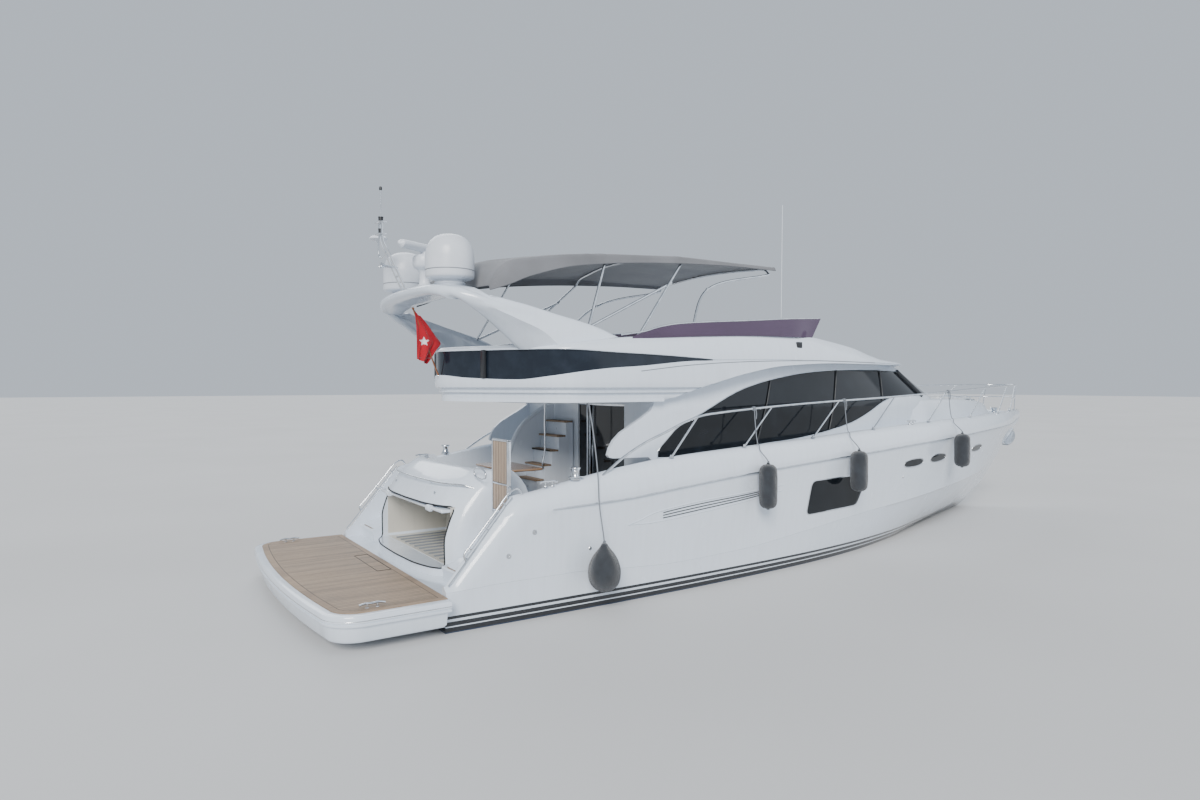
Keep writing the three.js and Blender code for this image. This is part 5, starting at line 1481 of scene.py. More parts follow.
def make_passerelle():
    x0, x1 = -6.857, -6.803
    frame_parts = [box("side", (x0, y, 1.36), (x1, y + 0.028, 2.288), 0.008) for y in (-2.099, -1.659)]
    frame_parts.append(box("head", (x0, -2.099, 2.262), (x1, -1.631, 2.289), 0.008))
    frame_parts.append(box("joint", (x0, -2.072, 1.7), (x1, -1.659, 1.722), 0.005, 2))
    frame_parts.append(turned("roll", [(0, -0.232), (0.026, -0.232), (0.029, -0.226), (0.029, 0.226),
        (0.026, 0.232), (0, 0.232)], (-6.83, -1.865, 1.34), heading=(0, 1, 0), steps=28))
    assembled("passerelle_frame", frame_parts, STEEL, body="passerelle", replaces="passerelle")
    boards = []
    for low, high in ((1.365, 1.697), (1.725, 2.259)):
        for i in range(5):
            y = -2.069 + 0.0825 * i
            boards.append(box("board", (x0 + 0.004, y, low), (x1 - 0.004, y + 0.078, high), 0.004, 2))
    assembled("passerelle_boards", boards, PLANK_TEAK, body="passerelle")
    post = turned("passerelle_socket_post", [(0, 0.0003), (0.062, 0.0003), (0.062, 0.01), (0.05, 0.016),
        (0.032, 0.03), (0.028, 0.05), (0.028, 0.29), (0.034, 0.305), (0, 0.3085)], (-6.83, -1.865, 1.0),
        steps=36)
    finished(post, STEEL, replaces="passerelle_socket")


make_cockpit()
make_passerelle()


# Guard rail

RAIL = [(-5.56, 0.06, 1.76), (-4.98, 0.09, 2.11), (-4.32, 0.11, 2.36), (-3.81, 0.12, 2.53),
    (-2.6, 0.12, 2.63), (-1.25, 0.12, 2.7), (0.93, 0.12, 2.78), (3.0, 0.11, 2.87), (4.7, 0.1, 2.93),
    (6.2, 0.07, 2.96), (7.4, 0.02, 2.98), (8.15, 0.0, 2.985)]
STANCHIONS = [(-4.36, -3.83), (-2.95, -2.3), (-1.4, -0.7), (0.17, 0.86), (1.88, 2.65), (3.66, 4.6),
    (5.5, 6.4), (7.0, 7.7)]


def rail_spot(x, sign):
    return (x, sign * (hull(x, GUNWALE_Y) - at(RAIL, x)), at(RAIL, x, 2))


def make_guard_rail():
    marks = [-5.5 + 0.35 * i for i in range(39)]
    path = [(-5.6, -2.285, 1.72)] + [rail_spot(x, -1) for x in marks] + [(8.15, -0.545, 2.985),
        (8.48, -0.33, 2.985), (8.6, 0, 2.985)]
    path = path + [(x, -y, z) for x, y, z in reversed(path[:-1])]
    bars = [tube("top", path, 0.0175, sides=10)]
    for foot, head in STANCHIONS:
        for sign in (-1, 1):
            base = Vector((foot, sign * (hull(foot, GUNWALE_Y) - 0.075), hull(foot, GUNWALE_Z)))
            top = Vector(rail_spot(head, sign))
            bars.append(rod("stanchion", [base, top], 0.0135, sides=8))
            bars.append(turned("flange", [(0, -0.002), (0.038, -0.002), (0.038, 0.006), (0.02, 0.013),
                (0.016, 0.04), (0, 0.041)], base, steps=24))
    for sign in (-1, 1):
        low = [(7.25, sign * (hull(7.25, GUNWALE_Y) - 0.05), 2.66),
            (7.9, sign * (hull(7.9, GUNWALE_Y) - 0.06), 2.67),
            (8.3, sign * 0.4, 2.675), (8.52, sign * 0.02, 2.675)]
        bars.append(tube("lower", low, 0.011, sides=8))
        bars.append(rod("brace", [(8.42, sign * 0.385, 2.98), (8.3, sign * 0.42, 2.34)], 0.0125))
    assembled("guard_rail_tubes", bars, STEEL, replaces="guard_rail")


make_guard_rail()


# Sunshade: canopy, bows and legs

BIMINI = [
    # x, half width, edge z, valance bottom z, crown z
    (-6.76, 1.50, 4.60, 4.28, 4.69),
    (-6.56, 1.56, 4.68, 4.35, 4.79),
    (-6.26, 1.58, 4.74, 4.48, 4.86),
    (-5.54, 1.60, 4.85, 4.68, 4.98),
    (-4.40, 1.61, 4.94, 4.82, 5.09),
    (-3.40, 1.61, 4.99, 4.89, 5.14),
    (-2.40, 1.60, 4.99, 4.93, 5.12),
    (-1.50, 1.57, 4.98, 4.94, 5.06),
]
BOWS = (-1.6, -3.57, -4.99, -6.45)
BOW_TUBE = 0.0195
CANOPY_AFT, CANOPY_LONG = -6.76, 5.26


def canopy_section(x):
    half, edge, low, crown = (at(BIMINI, x, k) for k in range(1, 5))
    near = min(abs(x - b) for b in BOWS)
    sag = 0.02 * min(1.0, near / 0.5) ** 1.5
    drop = max(0.0, (-6.45 - x) / 0.31)
    fall = 0.3 * (1 - sqrt(max(0.0, 1 - min(1.0, drop) ** 2.4)))
    half -= 0.1 * fall / 0.3
    edge, crown = edge - fall * 0.85, crown - fall
    edge = max(edge, low + 0.06)
    points = []
    for t in (0.0, 0.35, 0.7, 0.9):
        points.append((half + 0.002 - 0.012 * t, low + (edge - 0.045 - low) * t))
    for k in range(1, 6):
        a = pi / 2 * k / 6
        points.append((half - 0.055 + 0.045 * cos(a), edge - 0.045 + 0.045 * sin(a)))
    for k in range(12):
        t = k / 12
        y = (half - 0.055) * (1 - t)
        z = edge + (crown - edge) * (1 - (1 - t) ** 1.9) - sag * sin(pi * min(1, t * 1.1)) ** 0.5 * (0.3 + t)
        points.append((y, z))
    return points


def make_canopy():
    rows = []
    count = 121
    for i in range(count):
        x = CANOPY_AFT + CANOPY_LONG * (i / (count - 1)) ** 1.25
        half = canopy_section(x)
        centre = (0.0, half[-1][1] + 0.002)
        rows.append([(x, -y, z) for y, z in half] + [(x, *centre)] + [(x, y, z) for y, z in reversed(half)])
    for i, row in enumerate(rows):
        for j, (x, y, z) in enumerate(row):
            if abs(y) < 1.52:
                pull = 0.004 * sin(17 * y + 5 * sin(3 * x)) * sin(pi * i / (count - 1)) ** 0.5
                row[j] = (x, y, z + pull * sin(9 * x))
    sheet = laid("canopy_cloth", rows)
    thicken(sheet, 0.004, offset=0)
    finished(sheet, CANOPY, replaces="bimini_canopy", angle=50)
    hems = []
    for side in (0, -1):
        hems.append(rod("hem", [rows[i][side] for i in range(0, count, 3)], 0.006))
    for end in (0, -1):
        hems.append(rod("hem", rows[end], 0.007))
    for x in BOWS[:3]:
        i = round(((x - CANOPY_AFT) / CANOPY_LONG) ** 0.8 * (count - 1))
        hems.append(rod("pocket", [(p[0], p[1], p[2] + 0.0015) for p in rows[i]][4:-4], 0.0035))
    hem = joined("canopy_hems", hems)
    finished(hem, CANOPY_TRIM)


def bow_path(x):
    half, edge, crown = at(BIMINI, x, 1), at(BIMINI, x, 2), at(BIMINI, x, 4)
    side = [(half - 0.06, edge - 0.11), (half - 0.165, edge - 0.02)]
    side += [(half * 0.7, (edge + crown) / 2 - 0.03), (half * 0.4, crown - 0.042), (0, crown - 0.027)]
    return [(x, -y, z) for y, z in side] + [(x, y, z) for y, z in reversed(side[:-1])]


def make_bows():
    def legs(head, via, foot):
        return [tube("leg", [(x, sign * y, z) for x, y, z in (head, *via, foot)], BOW_TUBE, sides=8)
            for sign in (-1, 1)]

    def head_of(x):
        p = bow_path(x)[-1]
        return (p[0], abs(p[1]), p[2])
    fore = [tube("bow", bow_path(BOWS[0]), BOW_TUBE, sides=8)]
    fore += legs(head_of(BOWS[0]), [(-3.09, 1.62, 4.5)], (-3.78, 2.045, 3.745))
    aft = [tube("bow", bow_path(x), BOW_TUBE, sides=8) for x in BOWS[1:3]]
    aft += legs(head_of(BOWS[1]), [], (-4.75, 2.045, 3.69))
    aft += legs(head_of(BOWS[2]), [], (-5.52, 1.89, 3.72))
    aft += legs((-3.879, 1.678, 4.54), [], (-5.467, 1.856, 3.8))
    for group, feet in ((fore, ((-3.78, 2.045, 3.742),)), (aft, ((-4.75, 2.045, 3.688), (-5.52, 1.89, 3.7)))):
        for x, y, z in feet:
            for sign in (-1, 1):
                group.append(turned("shoe", [(0, 0), (0.032, 0), (0.032, 0.006), (0.02, 0.014),
                    (0.018, 0.04), (0, 0.042)], (x, sign * y, z), steps=20))
    for x, y, z in ((-3.09, 1.62, 4.5), (-3.879, 1.678, 4.54)):
        for sign in (-1, 1):
            (fore if x == -3.09 else aft).append(turned("clamp", [(0, -0.03), (0.022, -0.03), (0.024, 0),
                (0.022, 0.03), (0, 0.03)], (x, sign * y, z), heading=(0.5, 0, 0.8), steps=16))
    assembled("bimini_bows_fore", fore, STEEL, replaces="bimini_frame_fore")
    assembled("bimini_bows_aft", aft, STEEL, replaces="bimini_frame_aft")


make_bows()
make_canopy()


# Wind deflector

DEFLECTOR_LOW = [(-4.9, 3.66), (-3.72, 3.735), (-2.21, 3.792), (-1.12, 3.8), (-0.6, 3.74), (0.2, 3.62),
    (0.9, 3.5)]
DEFLECTOR_TOP = [(-4.9, 3.665), (-4.6, 3.78), (-4.07, 3.89), (-3.52, 3.94), (-2.6, 4.005), (-1.6, 4.08),
    (-0.87, 4.12), (-0.2, 4.14), (0.4, 4.15)]


def make_deflector():
    for side, sign in SIDES:
        rows = []
        for i in range(61):
            x = -4.88 + 4.02 * i / 60
            low, top = at(DEFLECTOR_LOW, x) - 0.02, at(DEFLECTOR_TOP, x)
            top = max(top, low + 0.02)
            lean = 0.02 * (x + 4.88) / 4.02
            y = 2.081 - 0.06 * ease(x, -1.7, -0.8)
            slant = 0.25 * ease(x, -1.6, -0.86)
            rows.append([(x - slant * (1 - t), sign * (y - lean * t), low + (top - low) * t)
                for t in (0, 0.25, 0.5, 0.75, 1)])
        pane = laid(f"wind_deflector_{side}_pane", rows)
        thicken(pane, 0.007, offset=0)
        finished(pane, ACRYLIC, replaces=f"wind_deflector_{side}", angle=40)
        top_line = [(r[-1][0], r[-1][1], r[-1][2] + 0.004) for r in rows[3::4]]
        bars = [tube("rail", [(-5.06, sign * 2.07, 3.7)] + top_line, 0.0115, sides=8)]
        for i in (14, 26, 38, 50):
            foot, head = rows[i][0], rows[i][-1]
            inward = -sign * 0.012
            bars.append(rod("post", [(foot[0], foot[1] + inward, foot[2]),
                (head[0], head[1] + inward, head[2])], 0.008))
        assembled(f"deflector_rail_{side}", bars, STEEL)


make_deflector()


# Cushions

UPRIGHT = Matrix(((0, 0, 1, 0), (1, 0, 0, 0), (0, 1, 0, 0), (0, 0, 0, 1)))


def swollen(piece, cell, reach, pressure=4.0):
    """Lets a pad fill out under slight air pressure, no point moving further than its reach."""
    apply_modifier(piece, "REMESH", mode="VOXEL", voxel_size=cell, adaptivity=0.0)
    start = [v.co.copy() for v in piece.data.vertices]
    cover = piece.modifiers.new("cover", "CLOTH")
    for key, value in dict(quality=5, mass=0.4, tension_stiffness=40, compression_stiffness=40,
            shear_stiffness=15, bending_stiffness=8, use_pressure=True,
            uniform_pressure_force=pressure).items():
        setattr(cover.settings, key, value)
    cover.settings.effector_weights.gravity = 0
    cover.point_cache.frame_start, cover.point_cache.frame_end = 1, 20
    for frame_number in range(1, 21):
        scene.frame_set(frame_number)
    pick(piece)
    bpy.ops.object.modifier_apply(modifier=cover.name)
    drop_selection()
    scene.frame_set(1)
    for v, rest in zip(piece.data.vertices, start):
        moved = v.co - rest
        if moved.length > reach:
            v.co = rest + moved * (reach / moved.length)
    apply_modifier(piece, "SUBSURF", levels=1, render_levels=1)
    return piece


def pulled_in(plan, amount):
    """A plan whose straight sides are drawn in a little between their corners."""
    n = len(plan)
    centre = Vector((sum(p[0] for p in plan) / n, sum(p[1] for p in plan) / n))
    reach = [(Vector(p[:2]) - centre).length for p in plan]
    far, near = max(reach), min(reach)
    out = []
    for p, r in zip(plan, reach):
        t = (far - r) / max(1e-6, far - near)
        out.append((p[0] + (centre.x - p[0]) / r * amount * t, p[1] + (centre.y - p[1]) / r * amount * t))
    return out


def pad(name, plan, low, high, finish, body="yacht", replaces=(), cell=0.022, channels=(), lie=None):
    """A filled cushion over a plan: swollen sides, sewn channels and piped edges; lie places it."""
    thick = high - low
    edge = min(0.035, thick * 0.3)
    levels = [(edge, low), (edge * 0.35, low + edge * 0.35), (0.004, low + edge), (0.0, low + thick * 0.5),
        (0.004, high - edge), (edge * 0.35, high - edge * 0.35), (edge, high - 0.004), (edge * 2.2, high)]
    shape = pulled_in(plan, 0.006)
    piece = stacked(name, shape, levels)
    swollen(piece, cell, 0.012)
    for v in piece.data.vertices:
        if v.co.z > low + thick * 0.6:
            for axis, place, depth in channels:
                gap = abs(v.co[axis] - place)
                if gap < 0.05:
                    v.co.z -= depth * exp(-(gap / 0.014) ** 2)
    seams = []
    for z in (low + edge * 0.45, high - edge * 0.45):
        loop = [(p[0], p[1], z) for p in drawn_in(shape, edge * 0.25 - 0.003)]
        seams.append(rod("seam", loop, 0.0042, closed=True))
    if lie is not None:
        for part in [piece] + seams:
            part.data.transform(lie)
    finished(piece, finish, body=body, replaces=replaces, angle=None)
    for polygon in piece.data.polygons:
        polygon.use_smooth = True
    assembled(name + "_piping", seams, finish, body=body)
    return piece


def make_cushions():
    aft = [(seat_back(-1.33 + 2.66 * i / 12) + 0.085, -1.33 + 2.66 * i / 12) for i in range(13)]
    bench = round_corners([(-6.235, 1.33), (-6.235, -1.33)] + aft, 0.05)
    pad("bench_cushion", bench, 1.4415, 1.548, SEAT, replaces="cockpit_bench_seat", cell=0.024,
        channels=((1, -0.45, 0.01), (1, 0.45, 0.01)))
    backs = []
    for y0, y1 in ((-1.2, -0.42), (-0.39, 0.39), (0.42, 1.2)):
        plan = round_corners([(y0, 0.0), (y1, 0.0), (y1, 0.225), (y0, 0.225)], 0.04)
        middle = (y0 + y1) / 2
        x = seat_back(middle) + 0.068
        turn = atan2(seat_back(y1) - seat_back(y0), y1 - y0)
        lie = (Matrix.Translation((x, middle, 1.575)) @ Matrix.Rotation(-turn, 4, "Z")
            @ Matrix.Rotation(radians(-9), 4, "Y") @ UPRIGHT @ Matrix.Translation((-middle, 0, -0.035)))
        backs.append(pad(f"bench_back_{len(backs) + 1}", plan, 0.0, 0.06, SEAT, lie=lie, cell=0.02))
    deck_pad = round_corners([(4.5, -0.76), (6.05, -0.52), (6.05, 0.52), (4.5, 0.76)], 0.09)
    pad("sun_pad", deck_pad, 2.6015, 2.752, SEAT, replaces="foredeck_pad", cell=0.03,
        channels=((1, 0.0, 0.014), (0, 5.02, 0.01), (0, 5.54, 0.01)))
    seat = [(-4.185, 0.315), (-3.615, 0.315), (-3.615, 1.115), (-2.715, 1.115), (-2.715, 1.56),
        (-4.185, 1.56)]
    base = stacked("sofa_base", round_corners([(-4.19, 0.31), (-3.61, 0.31), (-3.61, 1.11), (-2.71, 1.11),
        (-2.71, 1.71), (-4.19, 1.71)], 0.06), [(0.045, 3.1004), (0.045, 3.16), (0.0, 3.165), (0.0, 3.345),
        (0.012, 3.36)])
    finished(base, GELCOAT, replaces="flybridge_sofa")
    pad("sofa_cushion", round_corners(seat, 0.05), 3.362, 3.478, SEAT, cell=0.024,
        channels=((1, 0.82, 0.009), (0, -3.2, 0.009)))
    pad("sofa_back", round_corners([(-4.17, 1.6), (-2.73, 1.6), (-2.73, 1.695), (-4.17, 1.695)], 0.03), 3.47,
        3.818, SEAT)
    lower = round_corners([(-2.24, -1.25), (-1.86, -1.25), (-1.86, -0.53), (-2.24, -0.53)], 0.06)
    pad("helm_seat_cushion", lower, 3.452, 3.556, HELM_SEAT, cell=0.018, channels=((1, -0.89, 0.012),))
    lean = Matrix.Translation((-2.245, 0, 3.55)) @ Matrix.Rotation(radians(-10), 4, "Y")
    tilt = lean @ UPRIGHT
    for i, (y0, y1) in enumerate(((-1.25, -0.905), (-0.875, -0.53))):
        pad(f"helm_seat_back_{i + 1}", round_corners([(y0, 0.0), (y1, 0.0), (y1, 0.46), (y0, 0.46)], 0.07),
            -0.02, 0.075, HELM_SEAT, cell=0.018, lie=tilt)
    shell = [box("pan", (-2.245, -1.245, 3.425), (-1.865, -0.535, 3.452), 0.012),
        turned("post", [(0, 3.1004), (0.16, 3.1004), (0.16, 3.112), (0.06, 3.13), (0.048, 3.16),
        (0.048, 3.39), (0.1, 3.425), (0, 3.426)], (-2.05, -0.9, 0), steps=36)]
    back = box("back_shell", (-0.045, -1.24, 0.01), (-0.022, -0.54, 0.44), 0.01)
    back.data.transform(lean)
    assembled("helm_seat_shell", shell + [back], GELCOAT, replaces="helm_seat")


make_cushions()


# Helm

def make_helm():
    profile = [(-1.44, 3.1004), (-1.455, 3.3), (-1.495, 3.56), (-1.34, 3.79), (-1.22, 3.845), (-1.0, 3.862),
        (-0.86, 3.83), (-0.745, 3.74), (-0.7, 3.1004)]
    console = prism("console", profile, "y", -1.4997, -0.3503)
    soften(console, 0.035, 4, 20)
    finished(console, GELCOAT, replaces="helm_console", angle=40)
    face = Vector((0.155, 0, 0.23)).normalized()
    out = Vector((-face.z, 0, face.x))
    turn = Matrix(((0, face.x, out.x, 0), (-1, 0, 0, 0), (0, face.z, out.z, 0), (0, 0, 0, 1)))
    parts = []
    for y0, y1, s0, s1 in ((-1.42, -1.14, 0.04, 0.22), (-0.71, -0.43, 0.04, 0.22),
            (-1.08, -0.78, 0.205, 0.262)):
        low = Vector((-1.495, 0, 3.56)) + face * s0
        screen = box("screen", (-(y1 - y0) / 2, 0, -0.004), ((y1 - y0) / 2, s1 - s0, 0.012), 0.006, 2)
        screen.data.transform(Matrix.Translation((low.x, (y0 + y1) / 2, low.z)) @ turn)
        parts.append(screen)
    for i in range(5):
        spot = Vector((-1.495, -0.69 + 0.055 * i, 3.56)) + face * 0.245 + out * 0.004
        parts.append(turned("switch", [(0, -0.004), (0.011, -0.004), (0.011, 0.006), (0.008, 0.009),
            (0, 0.009)], spot, heading=out, steps=16))
    assembled("helm_instruments", parts, BLACK)
    lever = [turned("lever_base", [(0, 0), (0.05, 0), (0.052, 0.02), (0.04, 0.045), (0, 0.05)],
        (-1.27, -0.52, 3.822), steps=28)]
    for y in (-0.545, -0.495):
        lever.append(rod("lever", [(-1.27, y, 3.85), (-1.285, y, 3.93)], 0.007))
        lever.append(turned("knob", [(0, -0.016), (0.012, -0.012), (0.016, 0), (0.012, 0.012), (0, 0.016)],
            (-1.286, y, 3.94), steps=16))
    assembled("throttle_levers", lever, STEEL)
    hub = Vector((-1.495, -0.925, 3.56)) + face * (0.277 * 0.6) + out * 0.075
    rim = [hub + face * (0.185 * cos(a)) + Vector((0, 0.185 * sin(a), 0)) for a in around(48)]
    wheel = [rod("rim", rim, 0.014, closed=True, sides=10)]
    assembled("steering_wheel_rim", wheel, BLACK, body="steering_wheel", replaces="steering_wheel")
    spokes = [turned("hub", [(0, -0.072), (0.022, -0.072), (0.022, -0.03), (0.045, -0.012), (0.045, 0.006),
        (0.035, 0.018), (0, 0.02)], hub, heading=out, steps=32)]
    for a in (90, 210, 330):
        end = hub + face * (0.18 * cos(radians(a))) + Vector((0, 0.18 * sin(radians(a)), 0))
        mid = hub.lerp(end, 0.55) - out * 0.012
        spokes.append(tube("spoke", [hub - out * 0.005, mid, end], 0.008, sides=8))
    assembled("steering_wheel_spokes", spokes, STEEL, body="steering_wheel")


make_helm()


# Saloon door

def make_saloon_door():
    x0, x1 = -4.33, -4.294
    leaf = box("leaf", (x0, -1.239, 1.092), (x1, -0.151, 2.718), 0.006, 2)
    trim(leaf, box("opening", (x0 - 0.1, -1.18, 1.17), (x1 + 0.1, -0.21, 2.655)))
    handle = tube("handle", [(x0 + 0.006, -0.18, 1.8), (x0 + 0.001, -0.18, 1.82), (x0 + 0.001, -0.18, 1.98),
        (x0 + 0.006, -0.18, 2.0)], 0.006, sides=8)
    assembled("saloon_door_frame", [leaf, handle], STEEL, body="saloon_door", replaces="saloon_door")
    pane = box("saloon_door_pane", (x0 + 0.014, -1.186, 1.164), (x0 + 0.022, -0.204, 2.661), 0.002, 1)
    finished(pane, GLASS, body="saloon_door")
    still = [box("post", (-4.402, -0.155, 1.095), (-4.345, -0.115, 2.7), 0.006, 2),
        box("head", (-4.402, -1.2, 2.66), (-4.345, 0.15, 2.7), 0.006, 2)]
    assembled("saloon_fixed_frame", still, STEEL)
    fixed = box("saloon_fixed_pane", (-4.372, -0.12, 1.1), (-4.364, 0.145, 2.67), 0.002, 1)
    finished(fixed, GLASS)
    rows = []
    for i in range(61):
        y = -1.18 + 0.3 * i / 60
        x = -4.2 + 0.018 * sin(i * 0.5)
        rows.append([(x + 0.004 * sin(6 * z), y, z) for z in [1.15 + 1.5 * k / 16 for k in range(17)]])
    curtain = laid("saloon_curtain", rows)
    thicken(curtain, 0.003, offset=0)
    finished(curtain, CURTAIN, angle=60)


make_saloon_door()


# Foredeck fittings, anchor and windlass

def make_foredeck():
    drum = turned("windlass_drum", [(0, 0.0), (0.135, 0.0), (0.138, 0.012), (0.12, 0.024), (0.118, 0.06),
        (0.082, 0.075), (0.066, 0.1), (0.07, 0.125), (0.092, 0.142), (0.094, 0.155), (0.086, 0.165),
        (0, 0.172)], (8.1, 0, 2.235), steps=48)
    base = box("windlass_base", (7.955, -0.135, 2.16), (8.245, 0.135, 2.24), 0.012)
    assembled("windlass_body", [drum, base], STEEL, replaces="windlass")
    shank = prism("shank", [(8.53, 1.545), (8.6, 1.555), (8.8, 1.72), (9.0, 1.845), (9.03, 1.835),
        (9.03, 1.8), (8.84, 1.66), (8.66, 1.5), (8.56, 1.44)], "y", -0.022, 0.022)
    soften(shank, 0.006, 2, 30)
    rings = []
    for i in range(17):
        t = i / 16
        x, z = 8.555 + 0.5 * t, 1.43 + 0.335 * t
        half = 0.175 * sin(pi * min(1.0, 0.3 + 0.7 * t)) ** 0.8 * (1 if t < 0.98 else 0.8)
        thick = 0.016
        sweep = 0.1 * sin(pi * t) ** 0.7
        across = [(-1, -0.6), (-0.7, 0.0), (-0.35, 0.45), (0, 0.62), (0.35, 0.45), (0.7, 0.0), (1, -0.6)]
        upper = [(x - sweep * 0.35 * v, half * u + 0.002 * u, z + sweep * 0.5 * v + thick) for u, v in across]
        lower = [(x - sweep * 0.35 * v + 0.006, half * u * 0.96, z + sweep * 0.5 * v - thick)
            for u, v in reversed(across)]
        rings.append(upper + lower)
    fluke = ringed("fluke", rings)
    assembled("anchor_forging", [shank, fluke], STEEL, replaces="anchor")
    roller = [turned("roller", [(0, -0.04), (0.05, -0.04), (0.038, -0.012), (0.034, 0), (0.038, 0.012),
        (0.05, 0.04), (0, 0.04)], (9.155, 0, 2.285), heading=(0, 1, 0), steps=32)]
    for sign in (-1, 1):
        roller.append(prism("cheek", [(8.78, 2.245), (9.0, 2.235), (9.21, 2.24), (9.235, 2.275),
            (9.21, 2.33), (9.12, 2.345), (9.0, 2.29), (8.8, 2.27)], "y", sign * 0.049 - 0.004,
            sign * 0.049 + 0.004))
    assembled("bow_roller", roller, STEEL)
    chain = [rod("link", [(8.28 + 0.055 * i, 0.012 * (-1) ** i, 2.275 + 0.002 * i),
        (8.31 + 0.055 * i, -0.012 * (-1) ** i, 2.275 + 0.002 * i)], 0.0085) for i in range(15)]
    assembled("anchor_chain", chain, STEEL)
    for side, sign in SIDES:
        for k, (x, inboard) in enumerate(((7.35, 0.13), (1.3, 0.075))):
            heading = atan2(hull(x + 0.2, GUNWALE_Y) - hull(x - 0.2, GUNWALE_Y), 0.4) * sign
            cleat(f"side_cleat_{side}_{k + 1}", (x, sign * (hull(x, GUNWALE_Y) - inboard),
                hull(x, GUNWALE_Z) - 0.002), 0.28, heading)
    hatch = stacked("foredeck_hatch", round_corners([(7.25, -0.26), (7.75, -0.2), (7.75, 0.2), (7.25, 0.26)],
        0.05), [(0.0, 2.262), (0.0, 2.278), (0.006, 2.286), (0.03, 2.288)])
    finished(hatch, GELCOAT)
    low = [(4.54, 0.8), (5.0, 0.8), (5.5, 0.78), (5.97, 0.74)]
    crest = [(4.5, 2.72), (5.3, 2.7), (6.0, 2.6)]
    bars = []
    for sign in (-1, 1):
        path = [(x, sign * y, at(crest, x)) for x, y in low]
        path = ([(path[0][0] - 0.04, path[0][1], path[0][2] - 0.085)] + path
            + [(path[-1][0] + 0.04, path[-1][1], path[-1][2] - 0.085)])
        bars.append(tube("grab", path, 0.0115, sides=8))
        for x, y in low[1:3]:
            z = at(crest, x)
            bars.append(rod("leg", [(x, sign * y, z), (x, sign * y, z - 0.1)], 0.009))
    assembled("coachroof_grab_rails", bars, STEEL)


make_foredeck()


# Fenders

FENDERS = [
    # x, centre z, radius, length
    (-2.70, 1.45, 0.140, 0.68),
    (-0.57, 1.55, 0.145, 0.68),
    (2.71, 1.73, 0.145, 0.64),
]


